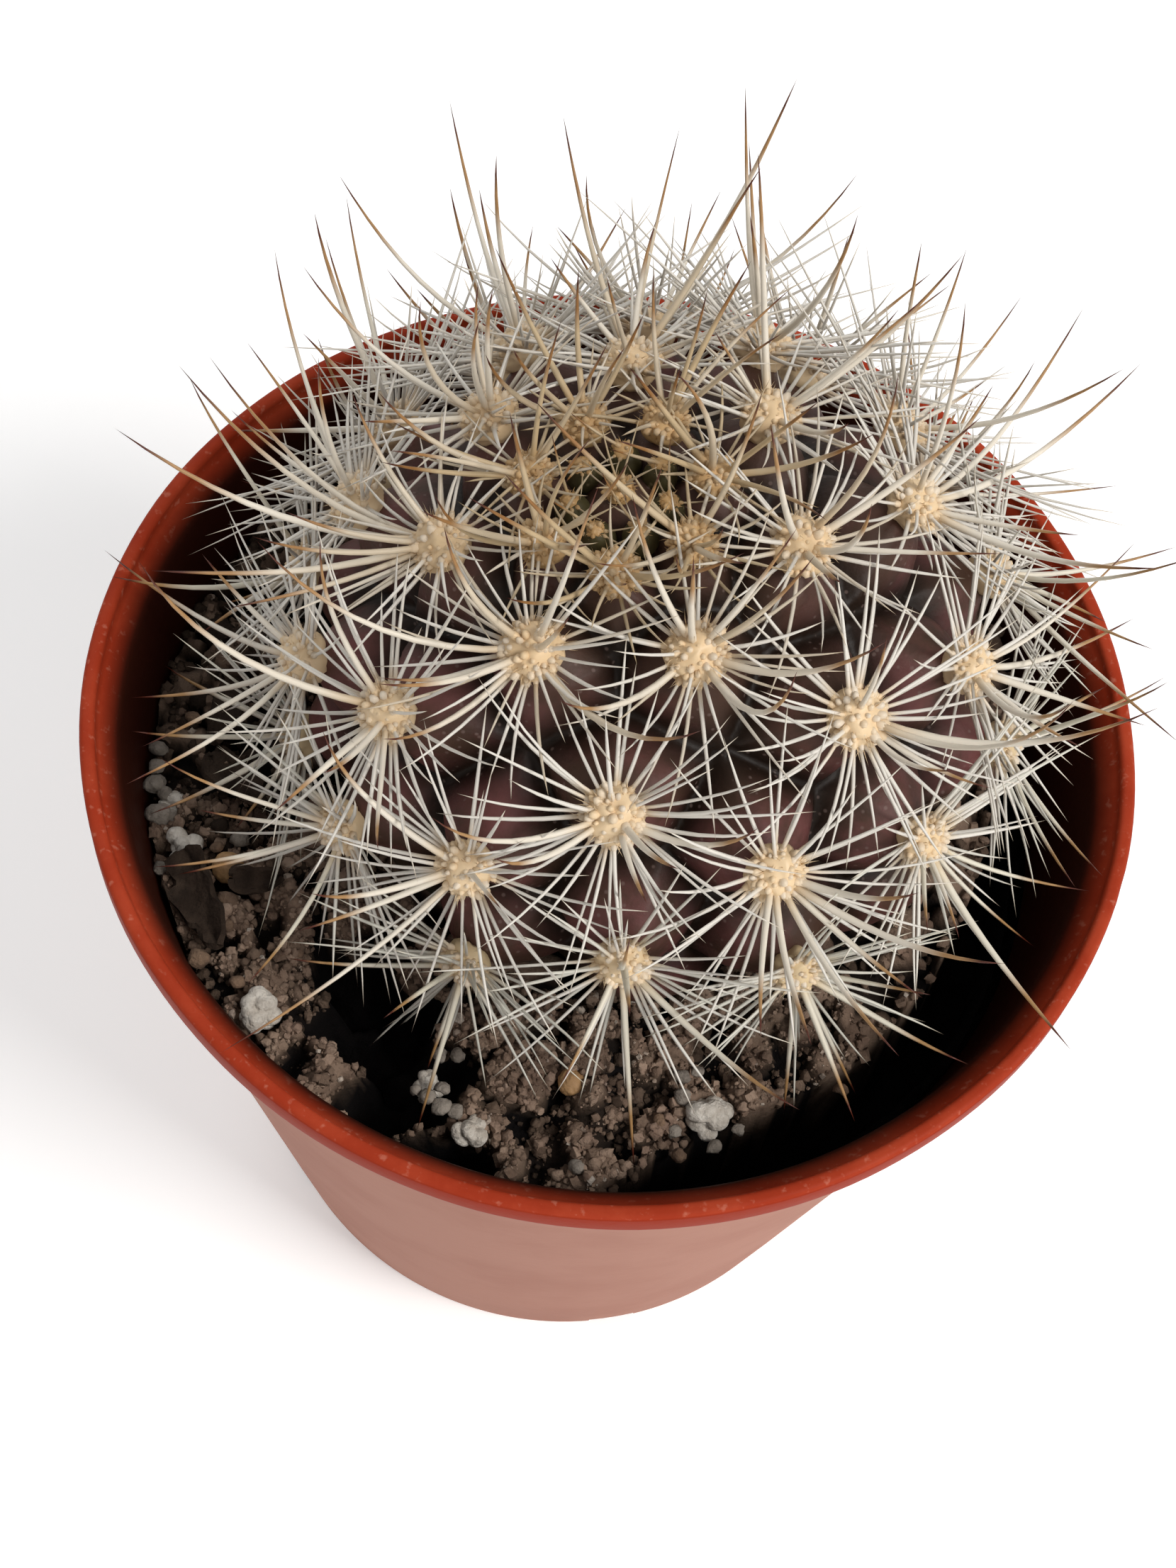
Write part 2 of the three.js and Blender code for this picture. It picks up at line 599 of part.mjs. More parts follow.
function makePad(tip, frame, radius, height) {
  const profile = [[0, 0], [1, 0], [1, 0.4], [0.72, 0.82], [0, 1]]
    .map(([across, up]) => new THREE.Vector2(across * radius, up * height));
  const dome = new THREE.LatheGeometry(profile, PAD_SIDES).rotateX(Math.PI / 2);
  const basis = new THREE.Matrix4().makeBasis(frame.right, frame.up, frame.normal);
  const base = tip.clone().addScaledVector(frame.normal, SEAT_GAP);
  return toSolid(dome.applyMatrix4(basis).translate(base.x, base.y, base.z));
}

// The least distance between the straight legs a-b and c-d.
function closestBetween(a, b, c, d) {
  const u = b.clone().sub(a);
  const v = d.clone().sub(c);
  const w = a.clone().sub(c);
  const uu = u.dot(u);
  const uv = u.dot(v);
  const vv = v.dot(v);
  const spread = uu * vv - uv * uv;
  let s = spread > 1e-9 ? clamp((uv * v.dot(w) - vv * u.dot(w)) / spread, 0, 1) : 0;
  const t = clamp((uv * s + v.dot(w)) / vv, 0, 1);
  s = clamp((uv * t - u.dot(w)) / uu, 0, 1);
  return w.addScaledVector(u, s).addScaledVector(v, -t).length();
}

// What spines keep clear of: placed spines of other clusters, all pads, the pot, the soil and grains.
class Surroundings {
  constructor(pads) {
    this.pads = pads;
    this.grains = GRAINS.map((grain) => ({ centre: grainCentre(grain), radius: grain.radius }));
    this.legs = [];
  }

  isFree(name, path, rootRadius) {
    for (let step = 0; step + 1 < path.length; step += 1) {
      const [start, end] = [path[step], path[step + 1]];
      if (!this.clearOfPot(start, end) || !this.clearOfPads(name, start, end, rootRadius)) return false;
      const reach = rootRadius + SPINE_CLEARANCE;
      const near = this.legs.some((leg) => leg.name !== name
        && closestBetween(start, end, leg.start, leg.end) < reach + leg.radius);
      if (near) return false;
    }
    return true;
  }

  clearOfPads(name, start, end, rootRadius) {
    return this.pads.every((pad) => {
      if (pad.name === name) return true;
      return closestBetween(start, end, pad.base, pad.top) > pad.radius + rootRadius + PAD_CLEARANCE;
    });
  }

  clearOfPot(start, end) {
    for (let share = 0; share <= 1; share += 0.125) {
      const point = start.clone().lerp(end, share);
      const across = Math.hypot(point.x, point.y) + WALL_CLEARANCE;
      const inPot = point.z < POT_HEIGHT + WALL_CLEARANCE;
      if (inPot && across > innerWallRadius(Math.min(point.z, LIP_UNDERSIDE))) return false;
      if (point.z < soilHeight(point.x, point.y) + GROUND_CLEARANCE) return false;
      const clearOf = ({ centre, radius }) => point.distanceTo(centre) > radius + GRAIN_CLEARANCE;
      if (!this.grains.every(clearOf)) return false;
    }
    return true;
  }

  add(name, path, rootRadius) {
    for (let step = 0; step + 1 < path.length; step += 1) {
      this.legs.push({ name, start: path[step], end: path[step + 1], radius: rootRadius });
    }
  }
}

class Cluster {
  constructor(cell) {
    this.name = cell.name;
    this.cell = cell;
    this.frame = cell.frame;
    this.tip = outerForm(cell.direction);
    this.padRadius = cell.row ? cell.row.pad : CROWN_PAD;
    this.padHeight = PAD_SLOPE * this.padRadius;
    this.spines = [];
  }

  // A spine's path, for a turn from the way to the crown and a lift above the pad's plane.
  pathFor({ turn, lift, length, bend, steps }) {
    const { frame, tip } = this;
    const across = frame.up.clone().multiplyScalar(Math.cos(degToRad(turn)))
      .addScaledVector(frame.right, Math.sin(degToRad(turn)));
    const direction = across.clone().multiplyScalar(Math.cos(degToRad(lift)))
      .addScaledVector(frame.normal, Math.sin(degToRad(lift)));
    const root = tip.clone().addScaledVector(frame.normal, SEAT_GAP + ROOT_RISE * this.padHeight)
      .addScaledVector(across, ROOT_OUT * this.padRadius);
    return spinePath(root, direction, UP, bend, length, steps);
  }

  // Tries the wanted spine, then ones turned, lifted and shortened a little more each time.
  place(wanted, rootRadius, surroundings, draw) {
    for (let attempt = 0; attempt < SPINE_TRIES; attempt += 1) {
      const ease = attempt / SPINE_TRIES;
      const path = this.pathFor({
        ...wanted,
        turn: wanted.turn + TURN_EASE * ease * (draw() - 0.5),
        lift: clamp(wanted.lift + LIFT_EASE * ease * (draw() - 0.4), LEAST_LIFT, MOST_LIFT),
        length: wanted.length * (1 - LENGTH_EASE * ease * ease),
      });
      if (surroundings.isFree(this.name, path, rootRadius)) {
        surroundings.add(this.name, path, rootRadius);
        this.spines.push({ path, rootRadius });
        return;
      }
    }
  }

  placeMiddles(surroundings, draw) {
    const { ring, place, row } = this.cell;
    const known = LONG_SPINES.filter((spine) => spine[0] === ring + 1 && spine[1] === place + 1);
    known.forEach(([, , turn, lift, length, bend]) => {
      this.place({ turn, lift, length, bend, steps: MIDDLE_STEPS }, MIDDLE_ROOT, surroundings, draw);
    });
    const start = 360 * draw();
    for (let step = known.length; step < row.middles; step += 1) {
      this.place({
        turn: start + (360 * step) / row.middles + 30 * (draw() - 0.5),
        lift: lerp(28, 58, draw()),
        length: row.middle * lerp(0.85, 1.12, draw()),
        bend: lerp(15, 45, draw()),
        steps: MIDDLE_STEPS,
      }, MIDDLE_ROOT, surroundings, draw);
    }
  }

  placeOuters(surroundings, draw) {
    const { row } = this.cell;
    for (let step = 0; step < row.outers; step += 1) {
      this.place({
        turn: (360 * (step + 0.5 * (draw() - 0.5))) / row.outers,
        lift: (step % 2 ? 27 : 15) + 8 * (draw() - 0.5),
        length: row.outer * lerp(0.8, 1.15, draw()),
        bend: 0,
        steps: 1,
      }, OUTER_ROOT, surroundings, draw);
    }
  }

  placeCrown(surroundings, draw) {
    for (let step = 0; step < CROWN_SPINES; step += 1) {
      this.place({
        turn: (360 * (step + 0.4 * (draw() - 0.5))) / CROWN_SPINES,
        lift: lerp(45, 70, draw()),
        length: CROWN_SPINE_LENGTH * lerp(0.7, 1.1, draw()),
        bend: 0,
        steps: 1,
      }, OUTER_ROOT, surroundings, draw);
    }
  }

  padMark() {
    const base = this.tip.clone().addScaledVector(this.frame.normal, -0.4);
    const top = this.tip.clone().addScaledVector(this.frame.normal, SEAT_GAP + this.padHeight * 0.5);
    return { name: this.name, base, top, radius: this.padRadius };
  }

  solid() {
    const pad = makePad(this.tip, this.frame, this.padRadius, this.padHeight);
    const spines = this.spines.map(({ path, rootRadius }) => makeSpine(path, rootRadius));
    return spines.reduce((joined, spine) => joined.add(spine), pad);
  }
}

function growClusters(cells) {
  const clusters = cells.filter((cell) => cell.name).map((cell) => new Cluster(cell));
  const surroundings = new Surroundings(clusters.map((cluster) => cluster.padMark()));
  const draw = seededDraw(SPINE_SEED);
  const rings = clusters.filter((cluster) => cluster.cell.row);
  clusters[0].placeCrown(surroundings, draw);
  rings.forEach((cluster) => cluster.placeMiddles(surroundings, draw));
  rings.forEach((cluster) => cluster.placeOuters(surroundings, draw));
  return clusters;
}

const pottedCactus = new THREE.Group();

function addNode(name, geometry, look) {
  const mesh = new THREE.Mesh(geometry, new THREE.MeshStandardMaterial(look));
  mesh.name = name;
  pottedCactus.add(mesh);
}

const cells = makeCells();
const sockets = GRAINS.map((grain, index) => makeGrain(grain, GRAIN_SEED + index, SEAT_GAP));
addNode('pot', makePot(), LOOKS.pot);
addNode('soil', fromSolid(makeSoil(sockets)), LOOKS.soil);
addNode('stem', makeStem(cells, cellBorders(cells)), LOOKS.stem);
GRAINS.forEach((grain, index) => {
  const look = grain.stone ? LOOKS.pebble : LOOKS.perlite;
  addNode(grain.name, makeGrain(grain, GRAIN_SEED + index, 0), look);
});
growClusters(cells).forEach((cluster) => {
  const look = cluster.cell.row ? LOOKS.spines : LOOKS.crown;
  addNode(cluster.name, fromSolid(cluster.solid()), look);
});

export default pottedCactus;
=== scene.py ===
import itertools
import logging
import math
from contextlib import contextmanager
from dataclasses import dataclass, field
from enum import Enum
from typing import Callable, Iterator, Sequence

import bpy
import numpy as np
from mathutils import Matrix, Vector
from mathutils.bvhtree import BVHTree


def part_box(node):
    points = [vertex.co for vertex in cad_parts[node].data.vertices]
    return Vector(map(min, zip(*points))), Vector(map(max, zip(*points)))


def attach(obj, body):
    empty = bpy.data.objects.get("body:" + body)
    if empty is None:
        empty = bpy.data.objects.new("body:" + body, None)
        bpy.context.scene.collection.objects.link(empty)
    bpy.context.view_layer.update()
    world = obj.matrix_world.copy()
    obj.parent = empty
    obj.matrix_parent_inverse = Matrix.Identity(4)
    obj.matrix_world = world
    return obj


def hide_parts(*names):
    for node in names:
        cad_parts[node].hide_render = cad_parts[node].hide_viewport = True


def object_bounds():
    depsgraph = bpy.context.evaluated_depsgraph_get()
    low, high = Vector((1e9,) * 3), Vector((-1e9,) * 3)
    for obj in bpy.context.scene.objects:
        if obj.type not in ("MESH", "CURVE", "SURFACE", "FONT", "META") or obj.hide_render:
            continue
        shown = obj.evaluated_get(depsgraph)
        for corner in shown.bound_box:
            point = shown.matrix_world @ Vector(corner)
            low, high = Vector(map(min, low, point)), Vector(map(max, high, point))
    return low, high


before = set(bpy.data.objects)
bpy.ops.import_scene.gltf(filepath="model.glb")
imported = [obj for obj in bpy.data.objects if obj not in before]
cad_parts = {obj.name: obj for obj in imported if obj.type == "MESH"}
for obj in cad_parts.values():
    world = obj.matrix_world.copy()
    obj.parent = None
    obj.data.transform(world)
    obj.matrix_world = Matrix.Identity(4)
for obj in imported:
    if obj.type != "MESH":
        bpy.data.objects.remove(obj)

CAD_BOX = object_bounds()
MM = 0.001
BODY = "root"

SOIL_LEVEL = 40.6
DROP_FROM = 60.0
DOWN = Vector((0, 0, -1))
UPRIGHT = np.array([0.0, 0.0, 1.0])
ALL_SMOOTH = 180.0

Colour = tuple[float, float, float]
WHITE: Colour = (1.0, 1.0, 1.0)
Face = tuple[int, ...]

log = logging.getLogger("potted_cactus")


# Workbench: small steps that every piece needs. Points are in millimetres, meshes in metres.


def take_up(piece: bpy.types.Object) -> None:
    """Make a piece the only selected and active object.

    Args:
        piece: The piece.
    """
    bpy.ops.object.select_all(action="DESELECT")
    piece.select_set(True)
    bpy.context.view_layer.objects.active = piece


def primitive(operator: Callable, name: str, **sizes: object) -> bpy.types.Object:
    """Add one of Blender's plain shapes with nothing else selected.

    Args:
        operator: The operator that adds the shape.
        name: The new object's name.
        **sizes: The operator's own settings.

    Returns:
        The new object, selected and active.
    """
    bpy.ops.object.select_all(action="DESELECT")
    operator(**sizes)
    piece = bpy.context.object
    piece.name = name
    return piece


@contextmanager
def edit_mode(piece: bpy.types.Object) -> Iterator[None]:
    """Work on a piece in edit mode, and leave it afterwards.

    Args:
        piece: The piece to work on.

    Yields:
        Nothing, while the piece is in edit mode.
    """
    take_up(piece)
    bpy.ops.object.mode_set(mode="EDIT")
    yield
    bpy.ops.object.mode_set(mode="OBJECT")


def points_of(piece: bpy.types.Object) -> np.ndarray:
    """Give a piece's vertices as rows of millimetres.

    Args:
        piece: A mesh object.

    Returns:
        One row for each vertex.
    """
    flat = np.empty(len(piece.data.vertices) * 3)
    piece.data.vertices.foreach_get("co", flat)
    return flat.reshape(-1, 3) / MM


def move_points(piece: bpy.types.Object, points: np.ndarray) -> None:
    """Put a piece's vertices at the given rows of millimetres."""
    piece.data.vertices.foreach_set("co", (points * MM).ravel())
    piece.data.update()


def apply_modifier(piece: bpy.types.Object, kind: str, **settings: object) -> None:
    """Add a modifier with the given settings and apply it.

    Args:
        piece: The piece to change.
        kind: Blender's name for the modifier's kind.
        **settings: The modifier's settings.
    """
    take_up(piece)
    modifier = piece.modifiers.new(kind.lower(), kind)
    for name, value in settings.items():
        setattr(modifier, name, value)
    bpy.ops.object.modifier_apply(modifier=modifier.name)


def faces_of(piece: bpy.types.Object) -> list[Face]:
    """Give the corners of each of a piece's faces."""
    return [tuple(polygon.vertices) for polygon in piece.data.polygons]


def take_blank(shape: bpy.types.Object) -> tuple[np.ndarray, list[Face]]:
    """Keep a shape's points and faces in its own units, and remove the shape.

    Args:
        shape: The modelled shape.

    Returns:
        The shape's points as rows, and its faces.
    """
    points, faces = points_of(shape) * MM, faces_of(shape)
    bpy.data.objects.remove(shape)
    return points, faces


def tree_of(piece: bpy.types.Object) -> BVHTree:
    """Give a search tree of a piece's surface in millimetres."""
    return BVHTree.FromPolygons([Vector(row) for row in points_of(piece)], faces_of(piece))


def drop(tree: BVHTree, x: float, y: float) -> tuple[Vector | None, Vector | None]:
    """Give the point and the normal where a straight fall meets a surface."""
    return tree.ray_cast(Vector((x, y, DROP_FROM)), DOWN)[:2]


def write_attribute(piece: bpy.types.Object, name: str, values: np.ndarray) -> None:
    """Store one number for each vertex, for the piece's material to read."""
    attribute = piece.data.attributes.new(name, "FLOAT", "POINT")
    attribute.data.foreach_set("value", values.astype(np.float32))


def finish_piece(
    piece: bpy.types.Object,
    materials: Sequence[bpy.types.Material],
    replaced: Sequence[str] = (),
    crease: float = ALL_SMOOTH,
) -> bpy.types.Object:
    """Give a piece its shading, its materials and its place in the frame.

    Args:
        piece: The modelled piece, with its place in its mesh.
        materials: Its materials, in the order of its faces' material numbers.
        replaced: The CAD nodes that the piece stands for.
        crease: The angle in degrees from which an edge stays sharp.

    Returns:
        The same piece.
    """
    take_up(piece)
    bpy.ops.object.shade_smooth_by_angle(angle=math.radians(crease))
    piece.data.materials.clear()
    for material in materials:
        piece.data.materials.append(material)
    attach(piece, BODY)
    if replaced:
        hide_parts(*replaced)
    triangles = sum(len(polygon.vertices) - 2 for polygon in piece.data.polygons)
    log.info("%s: %d triangles", piece.name, triangles)
    return piece


def spin_profile(name: str, profile: Sequence[tuple[float, float]], sides: int) -> bpy.types.Object:
    """Model a body of revolution about the vertical axis.

    One vertex is extruded from point to point of the profile, which is then spun.

    Args:
        name: The piece's name.
        profile: Radius and height of each point, from the axis back to the axis.
        sides: How many steps the spin has.

    Returns:
        The closed piece.
    """
    piece = primitive(bpy.ops.mesh.primitive_plane_add, name, size=MM, location=(0, 0, 0))
    places = [Vector((radius * MM, 0, height * MM)) for radius, height in profile]
    with edit_mode(piece):
        bpy.ops.mesh.select_all(action="SELECT")
        bpy.ops.mesh.merge(type="CENTER")
        bpy.ops.transform.translate(value=places[0])
        for before, after in zip(places, places[1:]):
            bpy.ops.mesh.extrude_vertices_move(TRANSFORM_OT_translate={"value": after - before})
        bpy.ops.mesh.select_all(action="SELECT")
        bpy.ops.mesh.spin(steps=sides, angle=math.tau, center=(0, 0, 0), axis=(0, 0, 1))
        bpy.ops.mesh.select_all(action="SELECT")
        bpy.ops.mesh.remove_doubles(threshold=0.001 * MM)
        bpy.ops.mesh.normals_make_consistent(inside=False)
    return piece


def arc(
    centre: tuple[float, float], radius: float, start: float, end: float, steps: int
) -> list[tuple[float, float]]:
    """Give the points of an arc of a profile, from one angle to another in degrees.

    Args:
        centre: The arc's centre.
        radius: Its radius.
        start: Its first angle in degrees.
        end: Its last angle in degrees.
        steps: How many steps it has.

    Returns:
        Radius and height of each point.
    """
    angles = np.radians(np.linspace(start, end, steps + 1))
    return [(centre[0] + radius * math.cos(a), centre[1] + radius * math.sin(a)) for a in angles]


def smoothstep(values: np.ndarray, low: float, high: float) -> np.ndarray:
    """Rise smoothly from 0 at low to 1 at high."""
    share = np.clip((values - low) / (high - low), 0, 1)
    return share * share * (3 - 2 * share)


def value_noise(points: np.ndarray, size: float, seed: int) -> np.ndarray:
    """Give smooth seeded noise from -1 to 1.

    Args:
        points: Rows of millimetres.
        size: How far apart its lumps are, in millimetres.
        seed: A whole number that picks the noise.

    Returns:
        One number for each row.
    """
    cell = np.floor(points / size).astype(np.int64)
    inside = points / size - cell
    fade = inside * inside * (3 - 2 * inside)
    total = np.zeros(len(points))
    for corner in itertools.product((0, 1), repeat=3):
        key = (cell + corner) * np.array([73856093, 19349663, 83492791])
        mixed = (key[:, 0] ^ key[:, 1] ^ key[:, 2] ^ (seed * 2654435761)) & 0xFFFFFFFF
        mixed = ((mixed ^ (mixed >> 15)) * 2246822519) & 0xFFFFFFFF
        mixed = ((mixed ^ (mixed >> 13)) * 3266489917) & 0xFFFFFFFF
        weight = np.prod(np.where(np.array(corner) == 1, fade, 1 - fade), axis=1)
        total += weight * ((mixed >> 8) / float(1 << 23) - 1)
    return total


def unit(vectors: np.ndarray) -> np.ndarray:
    """Scale each row to length 1."""
    return vectors / np.maximum(np.linalg.norm(vectors, axis=-1, keepdims=True), 1e-12)


# Node groups and materials.

NUMBER = "NodeSocketFloat"
COLOUR = "NodeSocketColor"


class Sheet:
    """A node tree that is filled node by node."""

    def __init__(self, tree: bpy.types.NodeTree) -> None:
        """Start on an empty tree."""
        self.tree = tree
        tree.nodes.clear()

    def add(self, kind: str, **settings: object) -> bpy.types.Node:
        """Add a node and set its own options.

        Args:
            kind: The node's type, without the word that all shader nodes start with.
            **settings: The node's options.

        Returns:
            The new node.
        """
        node = self.tree.nodes.new("ShaderNode" + kind)
        for name, value in settings.items():
            setattr(node, name, value)
        return node

    def feed(self, node: bpy.types.Node, **inputs: object) -> bpy.types.Node:
        """Set or link a node's inputs, by their names with underscores for spaces.

        Args:
            node: The node to feed.
            **inputs: A value or a socket for each input.

        Returns:
            The same node.
        """
        for name, value in inputs.items():
            socket = node.inputs[name.replace("_", " ")]
            if isinstance(value, bpy.types.NodeSocket):
                self.tree.links.new(value, socket)
            elif isinstance(value, tuple) and len(value) == 3 and socket.type == "RGBA":
                socket.default_value = (*value, 1.0)
            else:
                socket.default_value = value
        return node

    def mix(self, share: object, first: object, second: object, blend: str = "MIX") -> bpy.types.NodeSocket:
        """Mix two colours by a share from 0 to 1.

        Args:
            share: A number or a socket.
            first: The colour at share 0.
            second: The colour at share 1.
            blend: Blender's name for the way to mix.

        Returns:
            The mixed colour.
        """
        node = self.add("Mix", data_type="RGBA", blend_type=blend)
        for index, value in ((0, share), (6, first), (7, second)):
            socket = node.inputs[index]
            if isinstance(value, bpy.types.NodeSocket):
                self.tree.links.new(value, socket)
            else:
                socket.default_value = (*value, 1.0) if isinstance(value, tuple) else value
        return node.outputs[2]

    def ramp(self, share: object, stops: Sequence[tuple[float, Colour]]) -> bpy.types.NodeSocket:
        """Run through the stops' colours as a share goes from 0 to 1.

        Args:
            share: The socket to read.
            stops: The place and colour of each stop.

        Returns:
            The colour found.
        """
        node = self.add("ValToRGB")
        elements = node.color_ramp.elements
        while len(elements) < len(stops):
            elements.new(0.5)
        for element, (place, colour) in zip(elements, stops):
            element.position = place
            element.color = (*colour, 1.0)
        self.tree.links.new(share, node.inputs["Fac"])
        return node.outputs["Color"]

    def map(
        self, value: object, low: float, high: float, to_low: float = 0.0, to_high: float = 1.0
    ) -> bpy.types.NodeSocket:
        """Map a value's range on to another, clamped, with a smooth start and end.

        Args:
            value: The socket to read.
            low: The value that becomes to_low.
            high: The value that becomes to_high.
            to_low: One end of the new range.
            to_high: The other end.

        Returns:
            The mapped number.
        """
        node = self.add("MapRange", interpolation_type="SMOOTHSTEP")
        self.feed(node, Value=value, From_Min=low, From_Max=high, To_Min=to_low, To_Max=to_high)
        return node.outputs["Result"]

    def attribute(self, name: str) -> bpy.types.NodeSocket:
        """Read one of the piece's own numbers."""
        return self.add("Attribute", attribute_name=name, attribute_type="GEOMETRY").outputs["Fac"]

    def place(self) -> bpy.types.NodeSocket:
        """Read the place on the piece, in metres."""
        return self.add("TexCoord").outputs["Object"]

    def height(self) -> bpy.types.NodeSocket:
        """Read the height of the place on the piece, in metres.

        Returns:
            The height's socket.
        """
        node = self.add("SeparateXYZ")
        self.tree.links.new(self.place(), node.inputs[0])
        return node.outputs["Z"]


def new_group(
    name: str, inputs: Sequence[tuple[str, str]], outputs: Sequence[tuple[str, str]]
) -> tuple[bpy.types.NodeTree, Sheet, bpy.types.Node, bpy.types.Node]:
    """Start a shader node group.

    Args:
        name: The group's name.
        inputs: Name and socket type of each input.
        outputs: Name and socket type of each output.

    Returns:
        The group, its sheet, its input node and its output node.
    """
    group = bpy.data.node_groups.new(name, "ShaderNodeTree")
    for side, sockets in (("INPUT", inputs), ("OUTPUT", outputs)):
        for title, kind in sockets:
            group.interface.new_socket(name=title, in_out=side, socket_type=kind)
    sheet = Sheet(group)
    entry = group.nodes.new("NodeGroupInput")
    leave = group.nodes.new("NodeGroupOutput")
    return group, sheet, entry, leave


class SharedEffects:
    """The node groups that several materials use."""

    def __init__(self) -> None:
        """Build each group once."""
        self.mottle = self._mottle()
        self.relief = self._relief()

    @staticmethod
    def _mottle() -> bpy.types.NodeTree:
        """Build blotches of one colour in another, and their mask.

        Returns:
            The node group.
        """
        group, sheet, entry, leave = new_group(
            "mottle",
            [("Scale", NUMBER), ("Amount", NUMBER), ("Ground", COLOUR), ("Blotch", COLOUR)],
            [("Color", COLOUR), ("Mask", NUMBER)],
        )
        noise = sheet.feed(sheet.add("TexNoise"), Vector=sheet.place(), Scale=entry.outputs["Scale"],
                           Detail=5.0, Roughness=0.62)
        mask = sheet.map(noise.outputs["Fac"], 0.38, 0.68)
        scaled = sheet.add("Math", operation="MULTIPLY")
        group.links.new(mask, scaled.inputs[0])
        group.links.new(entry.outputs["Amount"], scaled.inputs[1])
        colour = sheet.mix(scaled.outputs[0], entry.outputs["Ground"], entry.outputs["Blotch"])
        group.links.new(colour, leave.inputs["Color"])
        group.links.new(mask, leave.inputs["Mask"])
        return group

    @staticmethod
    def _relief() -> bpy.types.NodeTree:
        """Build the normal of a fine uneven surface.

        Returns:
            The node group.
        """
        group, sheet, entry, leave = new_group(
            "relief",
            [("Scale", NUMBER), ("Strength", NUMBER), ("Depth", NUMBER)],
            [("Normal", "NodeSocketVector")],
        )
        noise = sheet.feed(sheet.add("TexNoise"), Vector=sheet.place(), Scale=entry.outputs["Scale"],
                           Detail=6.0, Roughness=0.6)
        bump = sheet.feed(sheet.add("Bump"), Height=noise.outputs["Fac"],
                          Strength=entry.outputs["Strength"], Distance=entry.outputs["Depth"])
        group.links.new(bump.outputs["Normal"], leave.inputs["Normal"])
        return group


class Finish:
    """A material that is built on one Principled shader."""

    def __init__(self, name: str, effects: SharedEffects) -> None:
        """Start the material with its shader and output.

        Args:
            name: The material's name.
            effects: The shared node groups.
        """
        self.material = bpy.data.materials.new(name)
        self.material.use_nodes = True
        self.sheet = Sheet(self.material.node_tree)
        self.effects = effects
        self.shader = self.sheet.add("BsdfPrincipled")
        output = self.sheet.add("OutputMaterial")
        self.material.node_tree.links.new(self.shader.outputs[0], output.inputs[0])

    def mottle(self, scale: float, amount: float, ground: object, blotch: object) -> bpy.types.Node:
        """Place the shared blotches."""
        node = self.sheet.add("Group", node_tree=self.effects.mottle)
        return self.sheet.feed(node, Scale=scale, Amount=amount, Ground=ground, Blotch=blotch)

    def roughen(self, scale: float, strength: float, depth: float) -> None:
        """Place the shared fine relief on the shader's normal.

        Args:
            scale: How fine the relief is.
            strength: How strongly it shows.
            depth: How deep it is, in metres.
        """
        node = self.sheet.add("Group", node_tree=self.effects.relief)
        self.sheet.feed(node, Scale=scale, Strength=strength, Depth=depth)
        self.sheet.feed(self.shader, Normal=node.outputs["Normal"])


@dataclass(frozen=True)
class PotPlastic:
    """Red-brown moulded plastic: painted glints on the lip, painted shade on its outer side and on the inner
    wall, chalky on the outer wall.
    """

    lip: Colour = (0.31, 0.033, 0.012)
    lip_pale: Colour = (0.39, 0.054, 0.022)
    # Darker outer side of the lip: painted shade.
    lip_side_shade: Colour = (0.27, 0.022, 0.004)
    # Pale flecks on the lip: painted glints.
    painted_glint: Colour = (0.62, 0.26, 0.18)
    # Near-black inner wall below the lip: painted shade.
    inside: Colour = (0.030, 0.007, 0.004)
    chalk: Colour = (0.395, 0.202, 0.154)
    chalk_shade: Colour = (0.327, 0.149, 0.111)

    def build(self, effects: SharedEffects) -> bpy.types.Material:
        """Build the material.

        Args:
            effects: The shared node groups.

        Returns:
            The finished material.
        """
        finish = Finish("pot_plastic", effects)
        sheet = finish.sheet
        red = finish.mottle(scale=260.0, amount=0.75, ground=self.lip, blotch=self.lip_pale)
        chalky = finish.mottle(scale=90.0, amount=0.5, ground=self.chalk, blotch=self.chalk_shade)
        outside = sheet.attribute("outside")
        inside = sheet.attribute("inside")
        # Painted glints: pale flecks scattered over the lip.
        glint_noise = sheet.feed(sheet.add("TexNoise"), Vector=sheet.place(), Scale=2300.0, Detail=3.0)
        glint_share = sheet.map(glint_noise.outputs["Fac"], 0.58, 0.74, 0.0, 0.3)
        lip = sheet.mix(glint_share, red.outputs["Color"], self.painted_glint)
        colour = sheet.mix(outside, lip, chalky.outputs["Color"])
        # The inner wall turns near black: painted shade.
        colour = sheet.mix(inside, colour, self.inside)
        # The lip's outer side is darkened: painted shade.
        colour = sheet.mix(sheet.attribute("lip_side_shade"), colour, self.lip_side_shade)
        rough = sheet.map(outside, 0.0, 1.0, 0.46, 0.66)
        sheet.feed(finish.shader, Base_Color=colour, Roughness=rough, Specular_IOR_Level=0.04)
        finish.roughen(scale=900.0, strength=0.25, depth=0.00012)
        return finish.material


